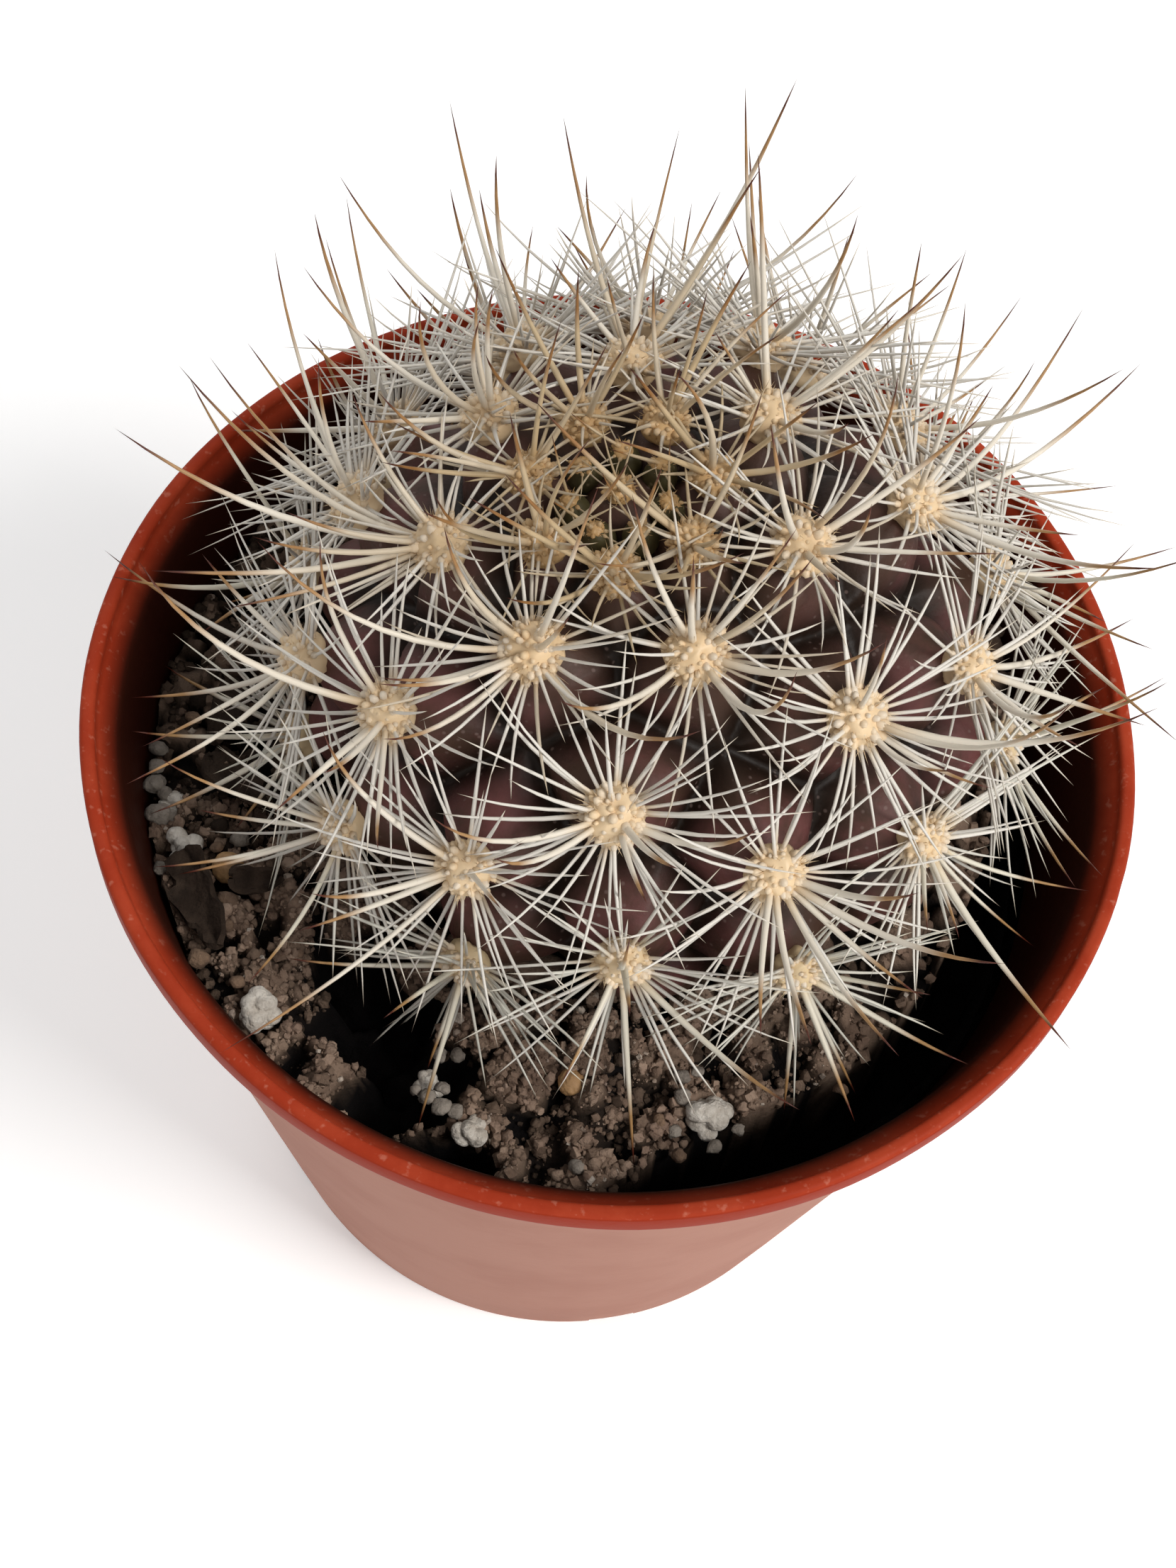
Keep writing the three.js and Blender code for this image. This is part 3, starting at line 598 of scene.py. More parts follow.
@dataclass(frozen=True)
class Flesh:
    """The plant's skin: purple-brown with maroon patches, painted shade in the grooves and green low down.
    """

    name: str = "flesh"
    brown: Colour = (0.070, 0.036, 0.024)
    maroon: Colour = (0.190, 0.066, 0.066)
    # Near-black colour in the grooves: painted shade.
    groove_shade: Colour = (0.012, 0.006, 0.003)
    green: Colour = (0.026, 0.038, 0.020)
    fleck: Colour = (0.24, 0.17, 0.15)
    green_from: float = 45.5
    green_below: float = 41.0
    crown_heights: tuple[float, float] = (55.0, 62.0)

    def build(self, effects: SharedEffects) -> bpy.types.Material:
        """Build the material.

        Args:
            effects: The shared node groups.

        Returns:
            The finished material.
        """
        finish = Finish(self.name, effects)
        sheet = finish.sheet
        skin = finish.mottle(scale=240.0, amount=0.85, ground=self.brown,
                             blotch=self.maroon).outputs["Color"]
        low = sheet.map(sheet.height(), self.green_below * MM, self.green_from * MM, 1.0, 0.0)
        skin = sheet.mix(low, skin, self.green)
        crown = sheet.map(sheet.height(), self.crown_heights[0] * MM, self.crown_heights[1] * MM, 0.0, 0.75)
        skin = sheet.mix(crown, skin, self.brown)
        # Darker towards the grooves: painted shade.
        deep = sheet.map(sheet.attribute("groove_shade"), 0.55, 1.0)
        skin = sheet.mix(deep, skin, self.groove_shade)
        specks = sheet.feed(sheet.add("TexVoronoi"), Vector=sheet.place(), Scale=1500.0)
        fleck = sheet.map(specks.outputs["Distance"], 0.08, 0.20, 0.4, 0.0)
        skin = sheet.mix(fleck, skin, self.fleck)
        sheet.feed(finish.shader, Base_Color=skin, Roughness=0.5, Specular_IOR_Level=0.25)
        finish.roughen(scale=2600.0, strength=0.35, depth=0.0001)
        return finish.material


@dataclass(frozen=True)
class SpineHorn:
    """Spines: white to cream, amber towards the tip and brown at its end, golden while young."""

    root: Colour = (0.66, 0.49, 0.29)
    shaft: Colour = (0.72, 0.66, 0.56)
    amber: Colour = (0.37, 0.21, 0.09)
    tip: Colour = (0.085, 0.018, 0.008)
    thin_root: Colour = (0.74, 0.56, 0.35)
    thin_shaft: Colour = (0.70, 0.665, 0.605)
    thin_tip: Colour = (0.58, 0.49, 0.37)
    young: Colour = (0.63, 0.49, 0.29)
    old: Colour = (0.84, 0.87, 0.82)

    def build(self, effects: SharedEffects) -> bpy.types.Material:
        """Build the material.

        Args:
            effects: The shared node groups.

        Returns:
            The finished material.
        """
        finish = Finish("spine_horn", effects)
        sheet = finish.sheet
        along = sheet.attribute("along")
        thick = sheet.ramp(along, [(0.0, self.root), (0.2, self.shaft), (0.55, self.shaft),
                                   (0.72, self.amber), (0.80, self.amber), (0.89, self.tip)])
        thin = sheet.ramp(along, [(0.0, self.thin_root), (0.25, self.thin_shaft), (0.8, self.thin_shaft),
                                  (1.0, self.thin_tip)])
        colour = sheet.mix(sheet.attribute("stout"), thin, thick)
        age = sheet.attribute("age")
        colour = sheet.mix(sheet.map(age, 0.0, 0.45, 0.85, 0.0), colour, self.young, "MULTIPLY")
        colour = sheet.mix(sheet.map(age, 0.65, 1.05, 0.0, 0.7), colour, self.old, "MULTIPLY")
        sheet.feed(finish.shader, Base_Color=colour, Roughness=0.42, Specular_IOR_Level=0.35)
        finish.roughen(scale=3000.0, strength=0.2, depth=0.00006)
        return finish.material


@dataclass(frozen=True)
class PadWool:
    """The cream wool that the spines grow out of."""

    peach: Colour = (0.71, 0.60, 0.43)
    cream: Colour = (0.90, 0.84, 0.70)

    def build(self, effects: SharedEffects) -> bpy.types.Material:
        """Build the material.

        Args:
            effects: The shared node groups.

        Returns:
            The finished material.
        """
        finish = Finish("pad_wool", effects)
        colour = finish.mottle(scale=1900.0, amount=1.0, ground=self.peach,
                               blotch=self.cream).outputs["Color"]
        finish.sheet.feed(finish.shader, Base_Color=colour, Roughness=0.95, Specular_IOR_Level=0.1)
        finish.roughen(scale=5200.0, strength=0.8, depth=0.0003)
        return finish.material


@dataclass(frozen=True)
class PottingMix:
    """Dark crumbly soil whose crumbs run from near black to pale by their own number, which also carries
    painted shade.
    """

    stops: tuple[tuple[float, Colour], ...] = (
        (0.0, (0.004, 0.003, 0.003)),
        (0.35, (0.076, 0.052, 0.037)),
        (0.65, (0.265, 0.185, 0.135)),
        (0.88, (0.39, 0.28, 0.21)),
        (1.0, (0.66, 0.60, 0.52)),
    )
    damp: Colour = (0.55, 0.5, 0.5)

    def build(self, effects: SharedEffects) -> bpy.types.Material:
        """Build the material.

        Args:
            effects: The shared node groups.

        Returns:
            The finished material.
        """
        finish = Finish("potting_mix", effects)
        sheet = finish.sheet
        crumb = sheet.ramp(sheet.attribute("shade"), self.stops)
        damp = finish.mottle(scale=420.0, amount=0.8, ground=WHITE,
                             blotch=self.damp).outputs["Color"]
        colour = sheet.mix(1.0, crumb, damp, "MULTIPLY")
        sheet.feed(finish.shader, Base_Color=colour, Roughness=0.95, Specular_IOR_Level=0.12)
        finish.roughen(scale=2600.0, strength=0.9, depth=0.0003)
        return finish.material


@dataclass(frozen=True)
class Mineral:
    """Loose grains: foamed perlite or a tan stone."""

    name: str
    ground: Colour
    blotch: Colour
    roughness: float
    pitting: float

    def build(self, effects: SharedEffects) -> bpy.types.Material:
        """Build the material.

        Args:
            effects: The shared node groups.

        Returns:
            The finished material.
        """
        finish = Finish(self.name, effects)
        colour = finish.mottle(scale=900.0, amount=0.8, ground=self.ground,
                               blotch=self.blotch).outputs["Color"]
        finish.sheet.feed(finish.shader, Base_Color=colour, Roughness=self.roughness)
        finish.roughen(scale=3200.0, strength=self.pitting, depth=0.0003)
        return finish.material


YOUNG_FLESH = Flesh("young_flesh", brown=(0.060, 0.050, 0.020), maroon=(0.13, 0.105, 0.045),
                    fleck=(0.34, 0.28, 0.16))
MINERALS = (
    Mineral("perlite", (0.72, 0.67, 0.60), (0.40, 0.34, 0.28), roughness=0.9, pitting=0.9),
    Mineral("grey_grain", (0.30, 0.26, 0.22), (0.11, 0.088, 0.07), roughness=0.9, pitting=0.8),
    Mineral("tan_grain", (0.23, 0.145, 0.09), (0.10, 0.06, 0.04), roughness=0.85, pitting=0.8),
    Mineral("pebble", (0.46, 0.27, 0.12), (0.30, 0.16, 0.07), roughness=0.6, pitting=0.4),
)


@dataclass(frozen=True)
class PaleFloor:
    """The plain pale surface that the pot stands on."""

    white: Colour = (0.90, 0.90, 0.90)
    shade: Colour = (0.87, 0.87, 0.87)
    glow: float = 0.27

    def build(self, effects: SharedEffects) -> bpy.types.Material:
        """Build the material.

        Args:
            effects: The shared node groups.

        Returns:
            The finished material.
        """
        finish = Finish("pale_floor", effects)
        colour = finish.mottle(scale=3.0, amount=0.5, ground=self.white,
                               blotch=self.shade).outputs["Color"]
        finish.sheet.feed(finish.shader, Base_Color=colour, Roughness=0.8,
                          Emission_Color=WHITE, Emission_Strength=self.glow)
        return finish.material


class Finishes:
    """All materials of the scene, each built once."""

    def __init__(self) -> None:
        """Build the shared effects and then the materials."""
        effects = SharedEffects()
        self.pot = PotPlastic().build(effects)
        self.flesh = Flesh().build(effects)
        self.young_flesh = YOUNG_FLESH.build(effects)
        self.spine = SpineHorn().build(effects)
        self.wool = PadWool().build(effects)
        self.soil = PottingMix().build(effects)
        self.perlite, self.grey_grain, self.tan_grain, self.pebble = (
            mineral.build(effects) for mineral in MINERALS)
        self.floor = PaleFloor().build(effects)


# Pot.


@dataclass
class NurseryPot:
    """The thin tapered plastic pot with its rolled lip, recessed underside and drain holes."""

    height: float = 47.0
    rim_radius: float = 27.5
    base_radius: float = 19.5
    lip_height: float = 1.8
    lip_overhang: float = 1.1
    lip_round: float = 0.25
    rim_width: float = 0.8
    rim_round: float = 0.32
    collar_step: float = 0.9
    wall: float = 0.85
    floor_top: float = 1.6
    foot_recess: float = 0.7
    foot_ring_inner: float = 16.4
    centre_pad: float = 7.0
    drains: int = 5
    drain_radius: float = 2.0
    drain_circle: float = 11.8
    notch_width: float = 3.0
    # Heights over which the inner wall's painted shade fades out towards the lip.
    inner_shade_heights: tuple[float, float] = (45.2, 46.7)
    sways: tuple[tuple[float, int, float], ...] = ((0.10, 2, 0.7), (0.06, 5, 0.0), (0.03, 13, 0.0))
    sway_share: float = 0.5
    drawn_in: float = 0.08
    dent_depth: float = 0.45
    dent_place: float = 128.0
    dent_width: float = 0.42
    nicks: tuple[tuple[float, float, float], ...] = (
        (-37.0, 0.030, 0.30), (-12.0, 0.022, 0.24), (205.0, 0.028, 0.28))
    crease: float = 35.0
    sides: int = 180

    @property
    def lip_underside(self) -> float:
        """Give the height of the lip's lower edge."""
        return self.height - self.lip_height

    @property
    def neck_radius(self) -> float:
        """Give the outer radius just under the lip."""
        return self.rim_radius - self.lip_overhang

    def inner_radius(self, z: np.ndarray | float) -> np.ndarray | float:
        """Give the inner wall's radius at a height."""
        share = z / self.lip_underside
        return self.base_radius + (self.neck_radius - self.base_radius) * share - self.wall

    def profile(self) -> list[tuple[float, float]]:
        """Give the section from the underside's centre round the lip to the floor's centre.

        Returns:
            Radius and height of each point.
        """
        turn = self.lip_round
        lip_inner = self.rim_radius - self.rim_width
        low = self.lip_underside
        wall_heights = np.linspace(turn, low - 0.3, 7)
        outer_wall = [(self.base_radius + (self.neck_radius - self.base_radius) * z / low, z)
                      for z in wall_heights]
        inner_wall = [(self.inner_radius(z), z) for z in np.linspace(low - 0.15, self.floor_top + 0.8, 9)]
        crest = self.rim_round
        return [
            (0.0, 0.0),
            (self.centre_pad, 0.0),
            (self.centre_pad + self.foot_recess / 2, self.foot_recess),
            (self.foot_ring_inner - self.foot_recess / 2, self.foot_recess),
            (self.foot_ring_inner, 0.0),
            *arc((self.base_radius - turn, turn), turn, -90, -10, 4),
            *outer_wall[1:],
            (self.neck_radius + 0.1, low - 0.05),
            (self.neck_radius + 0.35, low),
            *arc((self.rim_radius - turn, low + turn), turn, -90, 0, 4),
            *arc((self.rim_radius - crest, self.height - crest), crest, 0, 90, 5),
            *arc((lip_inner + crest, self.height - crest), crest, 90, 180, 5),
            (lip_inner, low + self.collar_step + 0.2),
            (lip_inner - 0.15, low + self.collar_step - 0.05),
            (self.inner_radius(low) + 0.15, low + 0.15),
            *inner_wall,
            (self.inner_radius(self.floor_top) - 0.8, self.floor_top),
            (0.0, self.floor_top),
        ]

    def cut(self, piece: bpy.types.Object, cutter: bpy.types.Object) -> None:
        """Cut copies of one cutter out of the piece, once for each drain hole.

        Args:
            piece: The piece to cut.
            cutter: The cutter at the first drain hole.
        """
        bpy.ops.object.transform_apply()
        for drain in range(self.drains):
            turned = cutter.copy()
            turned.data = cutter.data.copy()
            bpy.context.scene.collection.objects.link(turned)
            turned.data.transform(Matrix.Rotation(math.tau * drain / self.drains, 4, "Z"))
            apply_modifier(piece, "BOOLEAN", operation="DIFFERENCE", object=turned, solver="EXACT")
            bpy.data.objects.remove(turned)
        bpy.data.objects.remove(cutter)

    @staticmethod
    def hump(turn: np.ndarray, place: float, width: float) -> np.ndarray:
        """Give a smooth hump of height 1 at a place round the rim, in degrees."""
        away = (np.mod(turn - math.radians(place) + math.pi, math.tau) - math.pi) / width
        return np.exp(-away * away)

    def wear(self, points: np.ndarray) -> np.ndarray:
        """Make the lip slightly uneven, with a shallow dent and a few small nicks in its edges.

        Args:
            points: The pot's points as rows of millimetres.

        Returns:
            The moved rows.
        """
        turn = np.arctan2(points[:, 1], points[:, 0])
        upper = smoothstep(points[:, 2], self.lip_underside - 12, self.height)
        sway = sum(depth * np.sin(waves * turn + start) for depth, waves, start in self.sways)
        dent = self.dent_depth * self.hump(turn, self.dent_place, self.dent_width)
        inward = upper * (np.maximum(sway, -0.1) * -self.sway_share - self.drawn_in - dent)
        across = np.maximum(np.hypot(points[:, 0], points[:, 1]), 1e-6)
        scale = 1 + inward / across
        worn = points.copy()
        worn[:, 0] *= scale
        worn[:, 1] *= scale
        lip = smoothstep(points[:, 2], self.height - 1.0, self.height)
        worn[:, 2] -= lip * (0.05 + 0.05 * np.sin(7 * turn + 1.0))
        for place, width, depth in self.nicks:
            worn[:, 2] -= lip * depth * self.hump(turn, place, width)
        return worn

    def build(self, finishes: Finishes) -> None:
        """Model and dress the pot.

        Args:
            finishes: All materials of the scene.
        """
        piece = spin_profile("pot_shell", self.profile(), self.sides)
        self.cut(piece, primitive(
            bpy.ops.mesh.primitive_cylinder_add, "drain_cutter", vertices=32, radius=self.drain_radius * MM,
            depth=4 * self.floor_top * MM, location=(self.drain_circle * MM, 0, 0)))
        length = self.base_radius - self.drain_circle + self.drain_radius
        self.cut(piece, primitive(
            bpy.ops.mesh.primitive_cube_add, "notch_cutter", size=1,
            location=((self.drain_circle + length / 2) * MM, 0, 0),
            scale=(length * MM, self.notch_width * MM, 2 * self.foot_recess * MM)))
        points = points_of(piece)
        across = np.hypot(points[:, 0], points[:, 1])
        wall_middle = self.inner_radius(points[:, 2]) + self.wall / 2
        below_lip = 1 - smoothstep(points[:, 2], self.lip_underside - 0.25, self.lip_underside - 0.05)
        write_attribute(piece, "outside", (across > wall_middle) * below_lip)
        # The inner wall is darkened below the lip: painted shade.
        inner = (across < wall_middle) * (1 - smoothstep(points[:, 2], *self.inner_shade_heights))
        write_attribute(piece, "inside", inner)
        # Marks the lip's outer side for its painted shade.
        on_side = smoothstep(across, self.rim_radius - 0.2, self.rim_radius - 0.02)
        write_attribute(piece, "lip_side_shade", on_side * (points[:, 2] < self.height - 0.2))
        move_points(piece, self.wear(points))
        finish_piece(piece, [finishes.pot], ["pot"], self.crease)


# Plant.


class SpineKind(Enum):
    """The two kinds of spine: thin ones round the edge and stout ones in the middle."""

    OUTER = 0.0
    MIDDLE = 1.0


@dataclass(frozen=True)
class AreoleRing:
    """One ring of areoles: its angle from the crown, its bumps' share of the full height and its pads."""

    polar: float
    relief: float
    pad: float
    outer_length: float
    outers: int
    age: float
    bow: float = 0.0
    extra_middles: int = 2
    middle_reach: float = 1.0


@dataclass
class StemForm:
    """The stem's outer form: an ellipsoid of bumps that draws in to a foot in the soil."""

    centre: tuple[float, float, float] = (1.5, 2.1, 46.5)
    radius: float = 18.2
    half_height: float = 17.0
    drawn_in: float = 0.36
    drawn_angles: tuple[float, float] = (88.0, 138.0)
    lean: tuple[float, float] = (0.8, -9.0)
    first_turn: float = 17.2
    per_ring: int = 7
    bump_height: float = 3.3
    bump_power: float = 1.8
    # Each ring: angle, relief, pad, outer length, outers, age, bow, extra middles, their reach.
    rings: tuple[AreoleRing, ...] = (
        AreoleRing(13.7, 0.45, 1.15, 5.2, 13, 0.10, 0.07, 4, 1.8),
        AreoleRing(27.3, 0.8, 1.45, 7.2, 28, 0.32, 0.08, 3, 1.2),
        AreoleRing(48.3, 1.0, 1.45, 8.2, 34, 0.50, 0.09),
        AreoleRing(62.8, 1.0, 1.4, 8.6, 34, 0.62, 0.07),
        AreoleRing(75.0, 1.0, 1.3, 8.4, 32, 0.80, 0.03),
        AreoleRing(86.3, 0.95, 1.2, 8.0, 30, 0.98, 0.0),
    )
    # Each bare ring: angle, relief, share of the crown's lean.
    bare_rings: tuple[tuple[float, float, float], ...] = ((101, 0.7, 1), (117, 0.35, 0.5), (138, 0.1, 0))
    crown_relief: float = 0.2
    crown_pad: float = 0.7

    def outer(self, directions: np.ndarray) -> np.ndarray:
        """Give the point of the outer form for each direction from the centre.

        Args:
            directions: Rows of length 1.

        Returns:
            One row of millimetres for each.
        """
        polar = np.arccos(np.clip(directions[..., 2], -1, 1))
        drawn = 1 - self.drawn_in * smoothstep(polar, *(math.radians(angle) for angle in self.drawn_angles))
        width = self.radius * drawn
        shape = np.stack([directions[..., 0] * width, directions[..., 1] * width,
                          directions[..., 2] * self.half_height], axis=-1)
        return shape + np.array(self.centre)

    def normal(self, direction: np.ndarray) -> np.ndarray:
        """Give the outer form's normal for one direction.

        Args:
            direction: One row of length 1.

        Returns:
            The normal, which points outwards.
        """
        step = 1e-3
        side = np.array([-direction[1], direction[0], 0.0])
        side = unit(side) if np.linalg.norm(side) > 1e-5 else np.array([1.0, 0.0, 0.0])
        along = np.cross(direction, side)
        here = self.outer(direction)
        ways = [self.outer(unit(direction + way * step)) - here for way in (side, along)]
        normal = unit(np.cross(ways[0], ways[1]))
        return -normal if normal @ direction < 0 else normal

    def tilt(self, share: float) -> np.ndarray:
        """Give the turn of the crown's lean, or a share of it."""
        x, y = (math.radians(angle * share) for angle in self.lean)
        return np.array(Matrix.Rotation(x, 3, "X") @ Matrix.Rotation(y, 3, "Y"))

    def ring_direction(self, polar: float, ring: int, place: int, lean: float) -> np.ndarray:
        """Give the direction of a place in a ring, counted from 0.

        Args:
            polar: The ring's angle from the crown, in degrees.
            ring: The ring, counted from 0.
            place: The place in the ring.
            lean: The share of the crown's lean.

        Returns:
            A row of length 1.
        """
        down = math.radians(polar)
        turn = math.radians(self.first_turn) + math.tau * (place + 0.5 * (ring % 2)) / self.per_ring
        across = math.sin(down)
        straight = np.array([across * math.cos(turn), across * math.sin(turn), math.cos(down)])
        return self.tilt(lean) @ straight

    def cells(self) -> tuple[np.ndarray, np.ndarray]:
        """Give the direction and relief of every bump, bare ones and the foot included.

        Returns:
            Rows of length 1, and one relief for each.
        """
        directions = [self.tilt(1) @ UPRIGHT]
        reliefs = [self.crown_relief]
        rows = [(row.polar, row.relief, 1.0) for row in self.rings] + list(self.bare_rings)
        for ring, (polar, relief, lean) in enumerate(rows):
            for place in range(self.per_ring):
                directions.append(self.ring_direction(polar, ring, place, lean))
                reliefs.append(relief)
        directions.append(-UPRIGHT)
        reliefs.append(0.0)
        return np.array(directions), np.array(reliefs)

    def grooves(self, directions: np.ndarray) -> tuple[np.ndarray, np.ndarray]:
        """Give how far each direction lies towards its bump's edge, and its depth in millimetres.

        Args:
            directions: Rows of length 1.

        Returns:
            0 on a bump's tip to 1 in the groove round it, and the depth.
        """
        tips, reliefs = self.cells()
        angles = np.arccos(np.clip(directions @ tips.T, -1, 1))
        nearest = np.argsort(angles, axis=1)[:, :2]
        first = np.take_along_axis(angles, nearest[:, :1], axis=1)[:, 0]
        second = np.take_along_axis(angles, nearest[:, 1:], axis=1)[:, 0]
        share = 2 * first / np.maximum(first + second, 1e-6)
        relief = reliefs[nearest].mean(axis=1)
        return share, self.bump_height * relief * share ** self.bump_power


@dataclass
class StemBody:
    """The plant's round body with its bumps and grooves."""

    form: StemForm
    fineness: int = 7
    wrinkle: float = 0.07

    def build(self, finishes: Finishes) -> None:
        """Model and dress the stem.

        Args:
            finishes: All materials of the scene.
        """
        piece = primitive(bpy.ops.mesh.primitive_ico_sphere_add, "stem_body", subdivisions=self.fineness,
                          radius=1.0)
        directions = unit(points_of(piece))
        share, depth = self.form.grooves(directions)
        outer = self.form.outer(directions)
        inward = unit(np.array(self.form.centre) - outer)
        wrinkles = value_noise(outer, 1.1, 3) + 0.5 * value_noise(outer, 0.45, 4)
        points = outer + inward * (depth + self.wrinkle * (0.3 + share) * wrinkles)[:, None]
        move_points(piece, points)
        # How far each point lies towards a groove, for the painted shade there.
        write_attribute(piece, "groove_shade", share)
        finish_piece(piece, [finishes.flesh], ["stem"])


@dataclass
class NeedleBlank:
    """One straight needle of length 1 and radius 1, modelled once and bent for every spine."""

    sides: int
    steps: int
    fullness: float = 1.6

    def __post_init__(self) -> None:
        """Model the blank and keep its points and faces."""
        blank = primitive(bpy.ops.mesh.primitive_circle_add, "needle_blank", vertices=self.sides, radius=1.0,
                          fill_type="NGON")
        with edit_mode(blank):
            bpy.ops.mesh.select_all(action="SELECT")
            bpy.ops.mesh.flip_normals()
            for _ in range(self.steps):
                bpy.ops.mesh.extrude_region_move(TRANSFORM_OT_translate={"value": (0, 0, 1 / self.steps)})
            bpy.ops.mesh.merge(type="CENTER")
            bpy.ops.mesh.select_all(action="SELECT")
            bpy.ops.mesh.normals_make_consistent(inside=False)
        points, self.faces = take_blank(blank)
        self.across = points[:, :2]
        self.along = points[:, 2]
        self.level = np.round(self.along * self.steps).astype(int)

    def bend(self, path: np.ndarray, radius: float) -> np.ndarray:
        """Bend the blank along a path.

        Args:
            path: One row for each level of the blank, from root to tip.
            radius: The spine's radius at its root.

        Returns:
            The bent needle's points.
        """
        tangent = unit(np.gradient(path, axis=0))
        start = np.cross(tangent[0], (0.0, 0.0, 1.0))
        start = start if np.linalg.norm(start) > 0.05 else np.cross(tangent[0], (1.0, 0.0, 0.0))
        sideways = unit(np.cross(tangent, np.cross(start, tangent)))
        onward = np.cross(tangent, sideways)
        taper = radius * np.clip(1 - self.along ** self.fullness, 0, 1) ** 0.75
        offset = (self.across[:, :1] * sideways[self.level] + self.across[:, 1:] * onward[self.level])
        return path[self.level] + offset * taper[:, None]


@dataclass
class MeshHeap:
    """Parts that are gathered into one mesh, with numbers for their materials to read."""

    points: list[np.ndarray] = field(default_factory=list)
    faces: list[Face] = field(default_factory=list)
    looks: list[int] = field(default_factory=list)
    numbers: dict[str, list[np.ndarray]] = field(default_factory=dict)
    count: int = 0

    def add(self, points: np.ndarray, faces: Sequence[Face], look: int, **numbers: object) -> None:
        """Add one part with its material number and its attributes' values.

        Args:
            points: The part's points as rows of millimetres.
            faces: Its faces.
            look: Its material's number.
            **numbers: One value, or one for each point.
        """
        self.points.append(points)
        self.faces.extend(tuple(corner + self.count for corner in face) for face in faces)
        self.looks.extend([look] * len(faces))
        for name, value in numbers.items():
            self.numbers.setdefault(name, []).append(np.broadcast_to(value, len(points)))
        self.count += len(points)

    def piece(self, name: str) -> bpy.types.Object:
        """Make the gathered parts a mesh object.

        Args:
            name: The piece's name.

        Returns:
            The new piece.
        """
        mesh = bpy.data.meshes.new(name)
        mesh.from_pydata((np.concatenate(self.points) * MM).tolist(), [], self.faces)
        mesh.polygons.foreach_set("material_index", self.looks)
        mesh.update()
        piece = bpy.data.objects.new(name, mesh)
        bpy.context.scene.collection.objects.link(piece)
        for title, values in self.numbers.items():
            write_attribute(piece, title, np.concatenate(values))
        return piece


@dataclass
class CadNeedles:
    """The needles of a packed spine cluster, read back as paths from root to tip."""

    node: str
    centre: np.ndarray
    pad: float
    spike: float = 0.985
    ring_spread: float = 0.8

    def corners(self) -> tuple[np.ndarray, list[set[int]]]:
        """Give the node's distinct corners in millimetres, and each one's neighbours.

        Returns:
            The corners as rows, and a set of neighbours for each.
        """
        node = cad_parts[self.node]
        places, index = np.unique(np.round(points_of(node), 4), axis=0, return_inverse=True)
        index = index.ravel()
        neighbours: list[set[int]] = [set() for _ in places]
        for polygon in node.data.polygons:
            ring = [int(index[corner]) for corner in polygon.vertices]
            for here, there in zip(ring, ring[1:] + ring[:1]):
                neighbours[here].add(there)
                neighbours[there].add(here)
        return places, neighbours

    def paths(self) -> list[np.ndarray]:
        """Walk down from each sharp tip to the pad, from ring to ring of corners.

        Returns:
            One path for each needle, from root to tip.
        """
        places, neighbours = self.corners()
        reach = 1.15 * self.pad + 0.45
        found = []
        for tip, around in enumerate(neighbours):
            edges = unit(places[list(around)] - places[tip])
            outside = np.linalg.norm(places[tip] - self.centre) > reach + 0.6
            if not outside or np.linalg.norm(edges.mean(axis=0)) < self.spike:
                continue
            found.append(self._walk(places, neighbours, tip, reach))
        return found

    def _walk(self, places: np.ndarray, neighbours: list[set[int]], tip: int, reach: float) -> np.ndarray:
        """Follow one needle from its tip to its root in the pad.

        Args:
            places: The node's corners.
            neighbours: Each corner's neighbours.
            tip: The needle's sharp end.
            reach: How far the pad reaches.

        Returns:
            The path from root to tip.
        """
        path = [places[tip]]
        seen = {tip}
        ring = set(neighbours[tip])
        while ring:
            corners = places[list(ring)]
            middle = corners.mean(axis=0)
            if np.linalg.norm(corners - middle, axis=1).max() > self.ring_spread:
                break
            path.append(middle)
            if np.linalg.norm(middle - self.centre) < reach:
                break
            seen |= ring
            ring = set().union(*(neighbours[corner] for corner in ring)) - seen
        last = path[-1]
        inside = last + 0.65 * (self.centre - last)
        near = np.linalg.norm(last - self.centre) < reach
        path.append(inside if near else self.centre)
        return np.array(path[::-1])


def along_path(path: np.ndarray, steps: int) -> np.ndarray:
    """Give points at even shares of a smooth curve through a path's few points.

    Args:
        path: The path's points as rows.
        steps: How many steps the curve has.

    Returns:
        The curve's points as rows.
    """
    legs = np.linalg.norm(np.diff(path, axis=0), axis=1)
    places = np.concatenate([[0.0], np.cumsum(legs)]) / legs.sum()
    shares = np.linspace(0, 1, steps + 1)
    fits = np.polyfit(places, path, min(len(path) - 1, 3))
    return np.stack([np.polyval(fit, shares) for fit in fits.T], axis=1)


